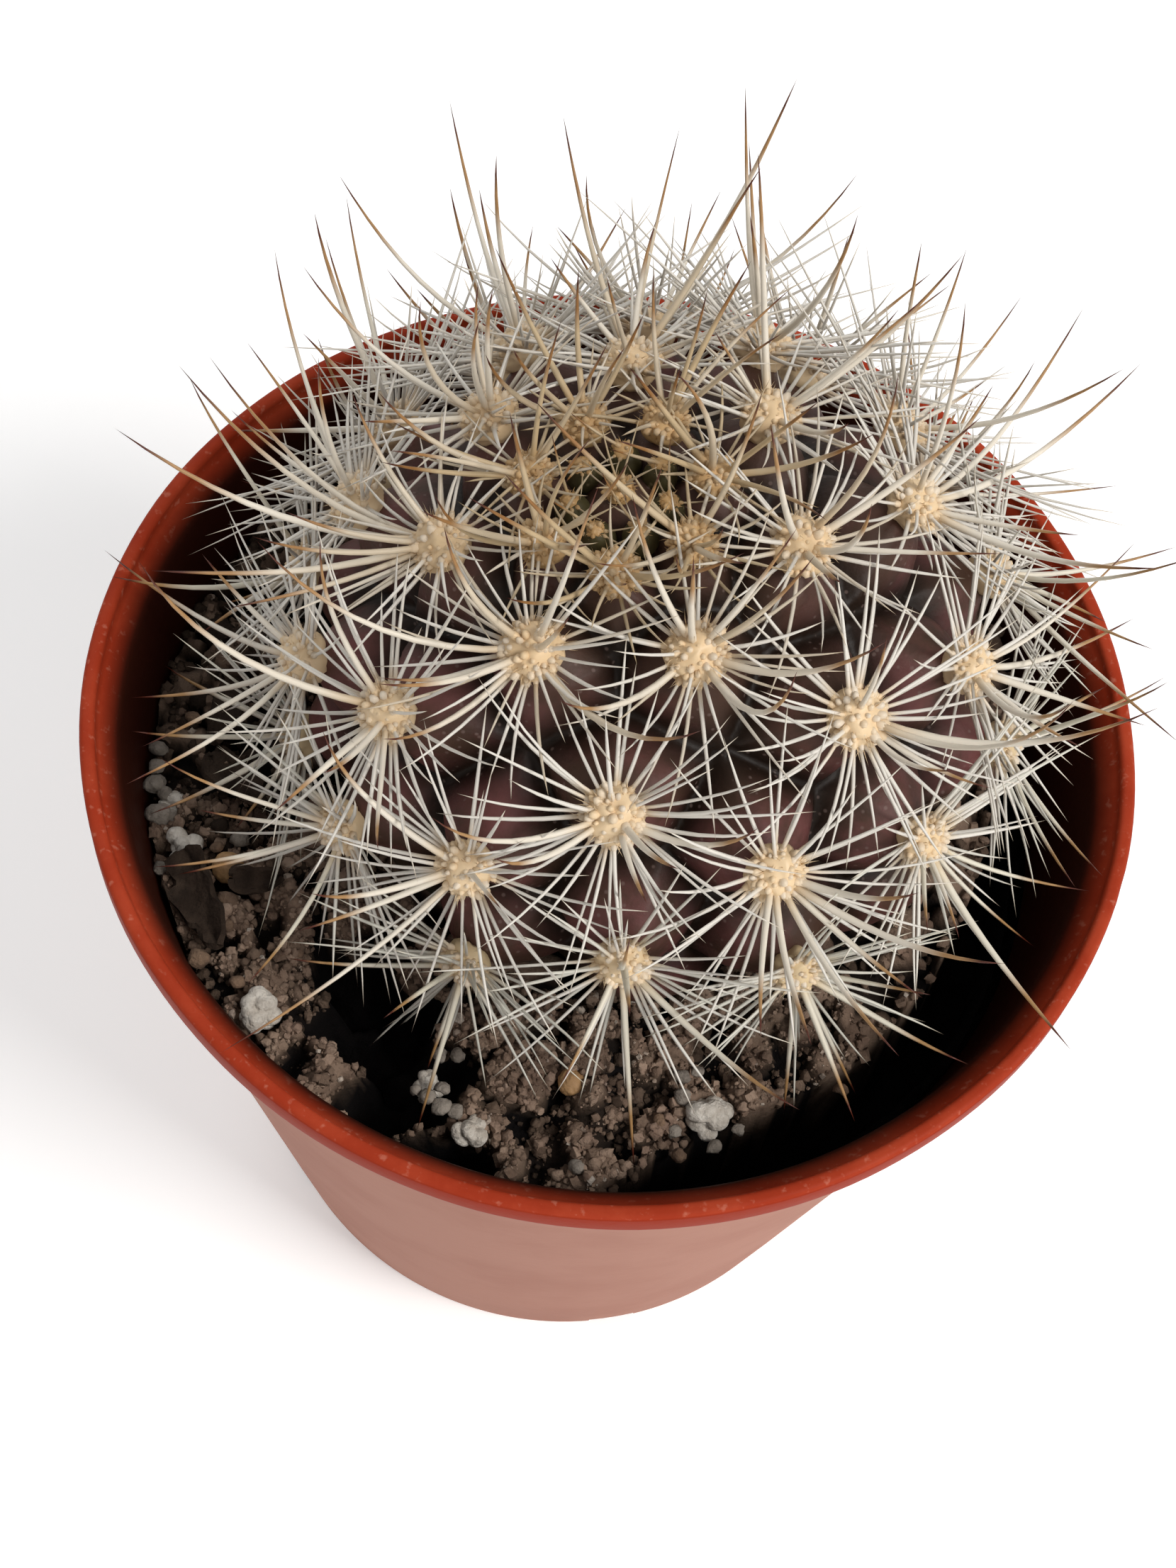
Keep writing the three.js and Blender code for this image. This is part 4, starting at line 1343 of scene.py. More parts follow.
@dataclass
class SpineCluster:
    """One areole: a pad of wool with thin outer spines and stout middle ones."""

    name: str
    node: str | None
    direction: np.ndarray
    row: AreoleRing
    form: StemForm
    seed: int
    outer_radius: float = 0.108
    middle_radius: float = 0.175
    pad_slope: float = 0.83
    wool_share: float = 0.98
    wool_sunk: float = 0.3
    root_sunk: float = 0.3
    hairs: int = 70
    bulb_radius: float = 0.18
    crest_bulbs: int = 44
    young_within: float = 10.0
    thin_stations: int = 3
    girths: tuple[float, float] = (0.8, 1.15)
    age_spread: float = 0.15
    bulb_sizes: tuple[float, float] = (0.75, 1.2)
    bulb_stretch: float = 0.9
    bulb_age: float = 0.5
    bows: tuple[float, float] = (-0.03, 0.08)
    sway: float = 0.03
    outer_lifts: tuple[float, ...] = (6.0, 14.0, 24.0)
    outer_lengths: tuple[float, float] = (0.72, 1.12)
    middle_lifts: tuple[float, float] = (35.0, 70.0)
    middle_lengths: tuple[float, float] = (0.7, 1.15)
    lump_sizes: tuple[float, float] = (0.4, 0.2)
    lumpiness: float = 0.13
    golden_turn: float = 137.5
    hair_lengths: tuple[float, float] = (0.25, 0.75)
    hair_radius: float = 0.03
    rear_growth: float = 0.35

    def __post_init__(self) -> None:
        """Work out where the pad sits and how it is turned."""
        self.normal = self.form.normal(self.direction)
        self.tip = self.form.outer(self.direction)
        self.up = unit(UPRIGHT - self.normal * self.normal[2])
        self.right = np.cross(self.up, self.normal)
        self.height = self.pad_slope * self.row.pad
        self.centre = self.tip + self.normal * (0.3 + 0.42 * self.height)
        self.base = self.centre - self.wool_sunk * self.normal
        self.basis = np.stack([self.right, self.up, self.normal])
        self.size = np.array([self.row.pad, self.row.pad, self.height]) * self.wool_share
        self.draw = np.random.default_rng(self.seed)
        self.rear = float(smoothstep(self.direction[1], 0.2, 0.65))

    def way(self, turn: float, lift: float) -> np.ndarray:
        """Give the direction for a turn from the way to the crown and a lift off the pad's plane."""
        across = self.up * math.cos(turn) + self.right * math.sin(turn)
        return across * math.cos(lift) + self.normal * math.sin(lift)

    def turn_of(self, way: np.ndarray) -> float:
        """Give a direction's turn from the way to the crown."""
        return math.atan2(way @ self.right, way @ self.up)

    def add_spine(self, heap: MeshHeap, blank: NeedleBlank, path: np.ndarray, kind: SpineKind) -> None:
        """Bend one spine along its path, with the swollen base that it has where it leaves the wool.

        Args:
            heap: Where the cluster's parts are gathered.
            blank: The needle to bend.
            path: One row for each of its levels.
            kind: Thin or stout.
        """
        stout = kind is SpineKind.MIDDLE
        radius = self.middle_radius if stout else self.outer_radius
        radius *= self.draw.uniform(*self.girths) * min(1.0, 0.6 + self.row.pad * 0.3)
        # Spines at the back are kept from the old grey tint, so they stay whiter: painted light.
        age = min(self.row.age, 1 - 0.5 * self.rear)
        age += self.draw.uniform(-self.age_spread, self.age_spread)
        bent = blank.bend(path, radius)
        heap.add(bent, blank.faces, 0, along=blank.along, age=age, stout=kind.value)
        reach = np.linalg.norm((path - self.base) @ self.basis.T / self.size, axis=1)
        after = max(1, int(np.argmax(reach > 1.0)))
        share = np.clip((1.0 - reach[after - 1]) / max(reach[after] - reach[after - 1], 1e-6), 0, 1)
        leg = path[after] - path[after - 1]
        self.add_bulb(heap, path[after - 1] + share * leg, unit(leg), 1.2 if stout else 0.95, 0)

    def add_bulb(
        self, heap: MeshHeap, place: np.ndarray, way: np.ndarray, swelling: float, look: int
    ) -> None:
        """Set one small bulb, drawn out along a direction.

        Args:
            heap: Where the cluster's parts are gathered.
            place: Its middle.
            way: The direction it is drawn out in.
            swelling: Its relative size.
            look: Its material's number.
        """
        ball = self.bulb.points * self.bulb_radius * swelling * self.draw.uniform(*self.bulb_sizes)
        ball = ball * min(1.0, 0.5 + self.row.pad * 0.38)
        ball = ball + np.outer(ball @ way, way) * self.bulb_stretch
        tone = self.draw.uniform(0.0, 0.16)
        age = min(self.row.age, self.bulb_age)
        heap.add(place + ball, self.bulb.faces, look, along=tone, age=age, stout=0.0)

    def bowed(self, root: np.ndarray, tip: np.ndarray, steps: int) -> np.ndarray:
        """Give a slightly bowed path from a root to a tip.

        Args:
            root: Where the spine starts.
            tip: Where it ends.
            steps: How many steps it has.

        Returns:
            The path's points as rows.
        """
        shares = np.linspace(0, 1, steps + 1)[:, None]
        leg = tip - root
        length = np.linalg.norm(leg)
        across = self.crownward(leg)
        bow = (self.draw.uniform(*self.bows) + 0.5 * self.row.bow) * length
        sway = np.cross(leg / length, across) * self.draw.uniform(-self.sway, self.sway) * length
        return root + leg * shares - (across * bow + sway) * 4 * shares * (1 - shares)

    def crownward(self, leg: np.ndarray) -> np.ndarray:
        """Give the way to the crown, without what runs along a leg."""
        towards = 0.8 * self.up + 0.3 * self.normal
        return towards - leg * (towards @ leg) / (leg @ leg)

    def bow_out(self, curve: np.ndarray) -> np.ndarray:
        """Bow a stout spine's curve further away from the crown, between its root and its tip.

        Args:
            curve: The spine's points as rows.

        Returns:
            The moved rows.
        """
        leg = curve[-1] - curve[0]
        shares = np.linspace(0, 1, len(curve))[:, None]
        bulge = 4 * shares * (1 - shares) * (1.25 - 0.5 * shares)
        return curve - self.crownward(leg) * bulge * self.row.bow * np.linalg.norm(leg)

    def add_outers(self, heap: MeshHeap, blank: NeedleBlank, taken: list[float], limits: "Limits") -> None:
        """Fill the star of outer spines between those that the frame has.

        Args:
            heap: Where the cluster's parts are gathered.
            blank: The thin needle.
            taken: The turns of spines in place.
            limits: What to stay clear of.
        """
        outers = round(self.row.outers * (1 + 0.6 * self.rear_growth * self.rear))
        pitch = math.tau / outers
        for slot in range(outers):
            turn = slot * pitch + self.draw.uniform(-0.5, 0.5) * pitch
            away = [abs(math.remainder(turn - other, math.tau)) for other in taken]
            lift = math.radians(self.draw.choice(self.outer_lifts) + self.draw.uniform(-5, 5))
            length = self.row.outer_length * self.draw.uniform(*self.outer_lengths)
            length *= 1 + self.rear_growth * self.rear
            if away and min(away) < 0.4 * pitch:
                continue
            way = self.way(turn, lift)
            root = self.centre + self.way(turn, 0) * 0.5 * self.row.pad - self.root_sunk * self.normal
            tip = limits.shorten(root, root + way * length)
            self.add_spine(heap, blank, self.bowed(root, tip, blank.steps), SpineKind.OUTER)

    def add_middles(self, heap: MeshHeap, blank: NeedleBlank, limits: "Limits") -> None:
        """Add a few short stout spines that rise from the middle of the pad.

        Args:
            heap: Where the cluster's parts are gathered.
            blank: The stout needle.
            limits: What to stay clear of.
        """
        for _ in range(self.row.extra_middles):
            turn = self.draw.uniform(0, math.tau)
            way = self.way(turn, math.radians(self.draw.uniform(*self.middle_lifts)))
            root = self.centre + self.way(turn, 0) * 0.2 * self.row.pad
            length = self.row.outer_length * self.row.middle_reach
            length *= self.draw.uniform(*self.middle_lengths)
            tip = limits.shorten(root, root + way * length)
            self.add_spine(heap, blank, self.bowed(root, tip, blank.steps), SpineKind.MIDDLE)

    def on_wool(self, way: np.ndarray, share: float) -> np.ndarray:
        """Give the point at a share of the wool's reach in a direction from its base."""
        return self.base + ((way @ self.basis.T) * self.size * share) @ self.basis

    def add_wool(self, heap: MeshHeap, pad: "WoolPad", hair: NeedleBlank) -> None:
        """Seat the pad of wool, the bulbs of unborn spines on its crest and its loose hairs.

        Args:
            heap: Where the cluster's parts are gathered.
            pad: The cushion.
            hair: The hair to bend.
        """
        large, small = self.lump_sizes
        lumps = value_noise(pad.points + self.seed, large, self.seed)
        lumps += 0.8 * value_noise(pad.points + self.seed, small, self.seed + 1)
        swollen = pad.points * (1 + self.lumpiness * lumps)[:, None] * self.size
        heap.add(self.base + swollen @ self.basis, pad.faces, 1, along=0.0, age=self.row.age, stout=0.0)
        for index in range(self.crest_bulbs):
            turn = index * math.radians(self.golden_turn) + self.draw.uniform(-0.3, 0.3)
            way = self.way(turn, math.asin(1 - 0.85 * (index + 0.5) / self.crest_bulbs))
            self.add_bulb(heap, self.on_wool(way, 0.93), way, self.draw.uniform(0.8, 1.25), 1)
        for _ in range(self.hairs):
            way = self.way(self.draw.uniform(0, math.tau), math.asin(self.draw.uniform(0.0, 0.85)))
            start = self.on_wool(way, 0.9)
            bend = self.way(self.draw.uniform(0, math.tau), 0.2)
            length = self.draw.uniform(*self.hair_lengths) * self.row.pad / 1.4
            shares = np.linspace(0, 1, hair.steps + 1)[:, None]
            path = start + (way * shares + 0.5 * bend * shares ** 2) * length
            heap.add(hair.bend(path, self.hair_radius), hair.faces, 1, along=0.0, age=self.row.age,
                     stout=0.0)

    def build(self, tools: "ClusterTools", finishes: Finishes) -> None:
        """Model and dress the cluster.

        Args:
            tools: The blanks and limits that clusters share.
            finishes: All materials of the scene.
        """
        heap = MeshHeap()
        self.bulb = tools.bulb
        self.add_wool(heap, tools.pad, tools.hair)
        taken = []
        for path in CadNeedles(self.node, self.centre, self.row.pad).paths() if self.node else []:
            if len(path) > self.thin_stations:
                curve = self.bow_out(along_path(path, tools.stout.steps))
                self.add_spine(heap, tools.stout, curve, SpineKind.MIDDLE)
            else:
                taken.append(self.turn_of(unit(path[-1] - path[0])))
                curve = self.bowed(path[0], path[-1], tools.thin.steps)
                self.add_spine(heap, tools.thin, curve, SpineKind.OUTER)
        self.add_outers(heap, tools.thin, taken, tools.limits)
        self.add_middles(heap, tools.stout, tools.limits)
        replaced = [self.node] if self.node else []
        finish_piece(heap.piece(self.name), [finishes.spine, finishes.wool], replaced)


@dataclass
class WoolPad:
    """A round cushion of radius 1, modelled once and seated under every cluster."""

    segments: int = 30
    rings: int = 18
    cut_below: float = -0.75

    def __post_init__(self) -> None:
        """Model the cushion and keep its points and faces."""
        cushion = primitive(bpy.ops.mesh.primitive_uv_sphere_add, "cushion_blank", segments=self.segments,
                            ring_count=self.rings, radius=1.0)
        with edit_mode(cushion):
            bpy.ops.mesh.select_all(action="SELECT")
            bpy.ops.mesh.bisect(plane_co=(0, 0, self.cut_below), plane_no=(0, 0, 1), use_fill=True,
                                clear_inner=True)
            bpy.ops.mesh.select_all(action="SELECT")
            bpy.ops.mesh.normals_make_consistent(inside=False)
        self.points, self.faces = take_blank(cushion)


@dataclass
class Limits:
    """What added spines stay clear of: the soil, the pot's wall and the frame's box."""

    soil: BVHTree
    pot: NurseryPot
    margin: float = 0.4
    box_margin: float = 0.1
    rim_margin: float = 0.3
    shortest: float = 0.4
    tries: int = 13

    def free(self, point: np.ndarray) -> bool:
        """Tell whether a point is clear.

        Args:
            point: One row of millimetres.

        Returns:
            True where nothing is near.
        """
        low, high = (np.array(corner) / MM for corner in CAD_BOX)
        if np.any(point < low + self.box_margin) or np.any(point > high - self.box_margin):
            return False
        if point[2] < self.pot.height + self.rim_margin:
            wall = self.pot.inner_radius(min(point[2], self.pot.lip_underside))
            if math.hypot(point[0], point[1]) > wall - self.margin:
                return False
        ground, _ = drop(self.soil, point[0], point[1])
        return ground is None or point[2] > ground.z + self.margin

    def shorten(self, root: np.ndarray, tip: np.ndarray) -> np.ndarray:
        """Pull a tip back towards its root until it is clear.

        Args:
            root: Where the spine starts.
            tip: Where it would end.

        Returns:
            The tip that is clear, or the nearest one tried.
        """
        for share in np.linspace(1, self.shortest, self.tries):
            point = root + (tip - root) * share
            if self.free(point):
                break
        return point


@dataclass
class ClusterTools:
    """The blanks and limits that all clusters share."""

    thin: NeedleBlank
    stout: NeedleBlank
    hair: NeedleBlank
    bulb: "CrumbBlank"
    pad: WoolPad
    limits: Limits


@dataclass
class CrownBuds:
    """The youngest tubercles: small green domes round the crown's centre, each with a few spines."""

    form: StemForm
    count: int = 7
    radius: float = 0.85
    height: float = 1.05
    sunk: float = 0.55
    lump_size: float = 0.8
    lumpiness: float = 0.08
    row: AreoleRing = AreoleRing(7.4, 0.2, 0.5, 2.2, 3, 0.0, 0.03, 1, 1.6)
    seed: int = 300

    def directions(self) -> list[np.ndarray]:
        """Give the buds' directions, set between the places of the first ring."""
        return [self.form.ring_direction(self.row.polar, 1, place, 1.0) for place in range(self.count)]

    def build(self, tools: ClusterTools, finishes: Finishes) -> None:
        """Model and dress the domes and then their spines.

        Args:
            tools: The blanks and limits that clusters share.
            finishes: All materials of the scene.
        """
        heap = MeshHeap()
        for place, direction in enumerate(self.directions()):
            normal = self.form.normal(direction)
            onward = unit(np.cross(normal, (0.0, 1.0, 0.0)))
            basis = np.stack([onward, np.cross(normal, onward), normal])
            size = np.array([self.radius, self.radius, self.height])
            lumps = value_noise(tools.pad.points + place, self.lump_size, self.seed)
            dome = tools.pad.points * (1 + self.lumpiness * lumps)[:, None] * size
            centre = self.form.outer(direction) - self.sunk * self.height * normal
            heap.add(centre + dome @ basis, tools.pad.faces, 0, along=0.0)
            SpineCluster(f"bud_spines_{place + 1}", None, direction, self.row, self.form,
                         self.seed + place, middle_radius=0.12, outer_radius=0.07, hairs=30,
                         crest_bulbs=3).build(tools, finishes)
        finish_piece(heap.piece("crown_buds"), [finishes.young_flesh])


@dataclass
class Spines:
    """All clusters of the plant."""

    form: StemForm
    limits: Limits
    seed: int = 400

    def build(self, finishes: Finishes) -> None:
        """Model and dress every cluster, and the tuft in the crown.

        Args:
            finishes: All materials of the scene.
        """
        tools = ClusterTools(
            thin=NeedleBlank(sides=5, steps=6, fullness=2.2), stout=NeedleBlank(sides=6, steps=9),
            hair=NeedleBlank(sides=3, steps=2), bulb=CrumbBlank(cuts=1, roundness=1.0),
            pad=WoolPad(), limits=self.limits)
        crown = AreoleRing(0.0, self.form.crown_relief, self.form.crown_pad, 3.0, 4, 0.0)
        up = self.form.tilt(1) @ UPRIGHT
        SpineCluster("crown_spines", "crown_tuft", up, crown, self.form, self.seed,
                     middle_radius=0.13, outer_radius=0.08, hairs=50,
                     crest_bulbs=10).build(tools, finishes)
        CrownBuds(self.form).build(tools, finishes)
        for ring, row in enumerate(self.form.rings):
            for place in range(self.form.per_ring):
                title = f"{ring + 1}_{place + 1}"
                direction = self.form.ring_direction(row.polar, ring, place, 1.0)
                seed = self.seed + 1 + ring * self.form.per_ring + place
                SpineCluster(f"spines_{title}", f"spine_cluster_{title}", direction, row, self.form,
                             seed).build(tools, finishes)


# Soil and grains.


@dataclass
class SoilBed:
    """The potting mix: clods with gaps, darkened by painted shade, over the frame's soil, down to the pot's
    floor.
    """

    pot: NurseryPot
    hole_radius: float = 11.0
    sides: int = 420
    top_steps: int = 76
    wall_gap: float = 0.06
    level: float = SOIL_LEVEL
    clods: int = 640
    clod_sizes: tuple[float, float] = (0.45, 1.5)
    clod_reach: float = 24.7
    gap_depth: float = 1.0
    crack_from: float = 1.2
    crack_steepness: float = 2.6
    crack_depth: float = 5.8
    far_jump: float = 3.0
    edge_pull: float = 0.35
    warp: float = 0.35
    grain: float = 0.12
    tones: tuple[float, float] = (0.60, 0.12)
    seed: int = 17

    def heights(self, x: np.ndarray, y: np.ndarray) -> np.ndarray:
        """Give the frame's soil height under each place.

        Args:
            x: The places' first numbers.
            y: Their second numbers.

        Returns:
            Heights in millimetres, not a number where there is no soil.
        """
        tree = tree_of(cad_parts["soil"])
        found = [drop(tree, a, b)[0] for a, b in zip(x, y)]
        return np.array([hit.z if hit is not None else math.nan for hit in found])

    def clod_relief(self, flat: np.ndarray) -> np.ndarray:
        """Give how high the clods stand at each place of the top, and how deep their gaps are.

        Args:
            flat: The places as rows, with height 0.

        Returns:
            Heights in millimetres.
        """
        draw = np.random.default_rng(self.seed)
        warped = flat + self.warp * np.stack([value_noise(flat, 1.1, 21), value_noise(flat, 1.1, 22),
                                              np.zeros(len(flat))], axis=1)
        relief = np.full(len(flat), -self.gap_depth)
        least, most = self.clod_sizes
        for _ in range(self.clods):
            turn = draw.uniform(0, math.tau)
            across = math.sqrt(draw.uniform(self.hole_radius ** 2, self.clod_reach ** 2))
            radius = least + (most - least) * draw.uniform() ** 1.5
            centre = np.array([across * math.cos(turn), across * math.sin(turn), 0.0])
            away = np.linalg.norm(warped - centre, axis=1) / radius
            dome = draw.uniform(-0.35, 0.3) + radius * (np.sqrt(np.clip(1 - away ** 2, 0, 1)) - 0.6)
            relief = np.where(away < 1, np.maximum(relief, dome), relief)
        return relief

    def profile(self) -> list[tuple[float, float]]:
        """Give the section: from the hole's bottom over the top and down the wall to the bottom.

        Returns:
            Radius and height of each point.
        """
        inner = self.hole_radius
        edge = float(self.pot.inner_radius(self.level)) - self.wall_gap
        top = [(inner + (edge - inner) * step / self.top_steps, self.level)
               for step in range(self.top_steps + 1)]
        wall = [(float(self.pot.inner_radius(z)) - self.wall_gap, z) for z in (36.0, 28.0, 18.0, 8.0, 2.8)]
        low = self.pot.floor_top + 0.05
        return [(0.0, 36.0), (inner * 0.96, 36.5), *top, *wall,
                (float(self.pot.inner_radius(low)) - 1.0, low), (0.0, low)]

    def build(self, finishes: Finishes) -> bpy.types.Object:
        """Model and dress the soil, and give the piece back for grains to lie on.

        Args:
            finishes: All materials of the scene.

        Returns:
            The soil's piece.
        """
        piece = spin_profile("soil_bed", self.profile(), self.sides)
        points = points_of(piece)
        across = np.hypot(points[:, 0], points[:, 1])
        top = (np.abs(points[:, 2] - self.level) < 0.01) & (across > self.hole_radius - 0.01)
        x, y = points[top, 0], points[top, 1]
        lengths = across[top]
        found = np.full(len(x), math.nan)
        for pull in (0.0, self.edge_pull):
            scale = (lengths - pull) / lengths
            heights = self.heights(x * scale, y * scale)
            use = np.isnan(found) | ((found < heights) & (heights - found < self.far_jump))
            found = np.where(use & ~np.isnan(heights), heights, found)
        found = np.where(np.isnan(found), self.level - self.far_jump, found)
        deep = self.level - found
        steep = self.crack_from + (deep - self.crack_from) * self.crack_steepness
        deep = np.where(deep > self.crack_from, np.minimum(steep, np.maximum(deep, self.crack_depth)), deep)
        flat = np.stack([x, y, np.zeros_like(x)], axis=1)
        relief = self.clod_relief(flat)
        points[top, 2] = self.level - deep + relief + self.grain * value_noise(flat, 0.5, 13)
        cavity = np.full(len(points), -1.0)
        cavity[top] = relief
        rim = across > float(self.pot.inner_radius(self.level)) - self.wall_gap - 0.02
        points[rim & top, 2] -= 0.15
        inner = self.pot.inner_radius(points[:, 2]) - self.wall_gap
        tight = (across > inner) & (points[:, 2] > 3.0)
        scale = np.where(tight, inner / np.maximum(across, 1e-6), 1.0)
        points[:, :2] *= scale[:, None]
        move_points(piece, points)
        open_tone, spread = self.tones
        # Darker in the gaps between clods and black in the crack: painted shade, over a random tone.
        tone = open_tone * smoothstep(cavity, -0.8, 0.4) + spread * value_noise(points, 2.2, 15)
        sunk = smoothstep(self.level - points[:, 2], 1.3, 2.6)
        write_attribute(piece, "shade", np.clip(tone * (1 - sunk), 0, 1))
        return finish_piece(piece, [finishes.soil], ["soil"])


@dataclass
class CrumbBlank:
    """One lumpy crumb of radius 1 with few faces, modelled once."""

    cuts: int
    roundness: float = 0.6

    def __post_init__(self) -> None:
        """Model the crumb and keep its points and faces."""
        crumb = primitive(bpy.ops.mesh.primitive_cube_add, "crumb_blank", size=1.6)
        with edit_mode(crumb):
            bpy.ops.mesh.select_all(action="SELECT")
            if self.cuts:
                bpy.ops.mesh.subdivide(number_cuts=self.cuts, smoothness=0.0)
                bpy.ops.transform.tosphere(value=self.roundness)
        points, self.faces = take_blank(crumb)
        self.points = points / np.linalg.norm(points, axis=1).mean()


@dataclass(frozen=True)
class CrumbPatch:
    """A patch of the soil with its own crumbs: where it is and how pale, big and many they are."""

    name: str
    start: float
    end: float
    count: int
    sizes: tuple[float, float]
    shades: tuple[float, float]
    pale: float
    near: float = 13.0
    far: float = 24.6
    cuts: int = 1


@dataclass
class SoilCrumbs:
    """The loose crumbs that cover the soil, patch by patch round the pot."""

    bed: BVHTree
    pot: NurseryPot
    level: float = SOIL_LEVEL
    around: float = 0.75
    seed: int = 90
    # Each patch: from and to in degrees, count, sizes, shades, share of pale ones, then any others.
    patches: tuple[CrumbPatch, ...] = (
        CrumbPatch("crumbs_front_left", 195, 255, 1700, (0.16, 0.40), (0.52, 0.84), 0.02),
        CrumbPatch("crumbs_front", 255, 300, 1400, (0.16, 0.40), (0.56, 0.88), 0.03),
        CrumbPatch("crumbs_right", 300, 380, 1000, (0.16, 0.40), (0.45, 0.80), 0.02),
        CrumbPatch("crumbs_back", 20, 140, 1000, (0.16, 0.44), (0.40, 0.74), 0.02),
        CrumbPatch("crumbs_left", 140, 195, 800, (0.16, 0.42), (0.20, 0.60), 0.04),
        CrumbPatch("grit_left", 190, 255, 4600, (0.06, 0.18), (0.55, 0.92), 0.03, cuts=0),
        CrumbPatch("grit_front", 255, 320, 3800, (0.06, 0.18), (0.58, 0.95), 0.03, cuts=0),
        CrumbPatch("bark_left", 150, 206, 16, (0.55, 1.0), (0.04, 0.20), 0.0, 15.5, 23.4, 3),
    )
    deepest: float = 38.7
    pale_shades: tuple[float, float] = (0.92, 1.0)
    raggedness: tuple[float, ...] = (0.30, 0.27, 0.18, 0.14)
    wall_gap: float = 0.05
    crease: float = 60.0

    def build(self, finishes: Finishes) -> None:
        """Model and dress each patch.

        Args:
            finishes: All materials of the scene.
        """
        for index, patch in enumerate(self.patches):
            blank = CrumbBlank(patch.cuts)
            draw = np.random.default_rng(self.seed + index)
            heap = MeshHeap()
            for _ in range(patch.count):
                self.add_crumb(heap, blank, patch, draw)
            finish_piece(heap.piece(patch.name), [finishes.soil], crease=self.crease)

    def add_crumb(
        self, heap: MeshHeap, blank: CrumbBlank, patch: CrumbPatch, draw: np.random.Generator
    ) -> None:
        """Lay one crumb on the soil.

        Args:
            heap: Where the patch's crumbs are gathered.
            blank: The crumb to lay.
            patch: The patch it belongs to.
            draw: The patch's random draws.
        """
        turn = math.radians(draw.uniform(patch.start, patch.end))
        across = math.sqrt(draw.uniform(patch.near ** 2, patch.far ** 2))
        least, most = patch.sizes
        size = least + (most - least) * draw.uniform() ** 1.7
        shade = draw.uniform(*patch.shades)
        if draw.uniform() < patch.pale:
            shade = draw.uniform(*self.pale_shades)
        shape = draw.uniform(0.7, 1.15, 3)
        pole = Vector(draw.normal(size=3)).normalized()
        spin = np.array(Matrix.Rotation(draw.uniform(0, math.tau), 3, pole))
        jitter = 1 + self.raggedness[patch.cuts] * draw.uniform(-1, 1, len(blank.points))
        x, y = across * math.cos(turn), across * math.sin(turn)
        ground, normal = drop(self.bed, x, y)
        if ground is None or ground.z < self.deepest:
            return
        lit = self.light_at(x, y, ground.z)
        if lit < draw.uniform(0.0, 0.5):
            return
        seat = np.array(ground) + np.array(normal) * size * draw.uniform(-0.2, 0.6)
        room = float(self.pot.inner_radius(seat[2])) - self.wall_gap - size
        seat[:2] *= min(1.0, room / math.hypot(seat[0], seat[1]))
        lump = (blank.points * jitter[:, None] * shape * size) @ spin.T
        # Crumbs in gaps and in the crack are darkened: painted shade.
        heap.add(lump + seat, blank.faces, 0, shade=shade * (0.3 + 0.7 * lit))

    def light_at(self, x: float, y: float, height: float) -> float:
        """Give how open the soil is at a place: 1 on top of a clod, 0 in a gap or in the crack; it sets the
        crumbs' painted shade.

        Args:
            x: The place's first number.
            y: Its second number.
            height: The soil's height there.

        Returns:
            A share from 0 to 1.
        """
        near = [drop(self.bed, x + a, y + b)[0]
                for a, b in ((self.around, 0), (0, self.around), (-self.around, 0), (0, -self.around))]
        mean = sum(height if point is None else point.z for point in near) / 4
        hollow = smoothstep(np.array(height - mean), -0.6, 0.3)
        sunk = smoothstep(np.array(self.level - height), 1.0, 2.4)
        return float(hollow * (1 - sunk))


@dataclass(frozen=True)
class Bead:
    """One small loose grain: where it lies on the soil, and its radius."""

    x: float
    y: float
    radius: float


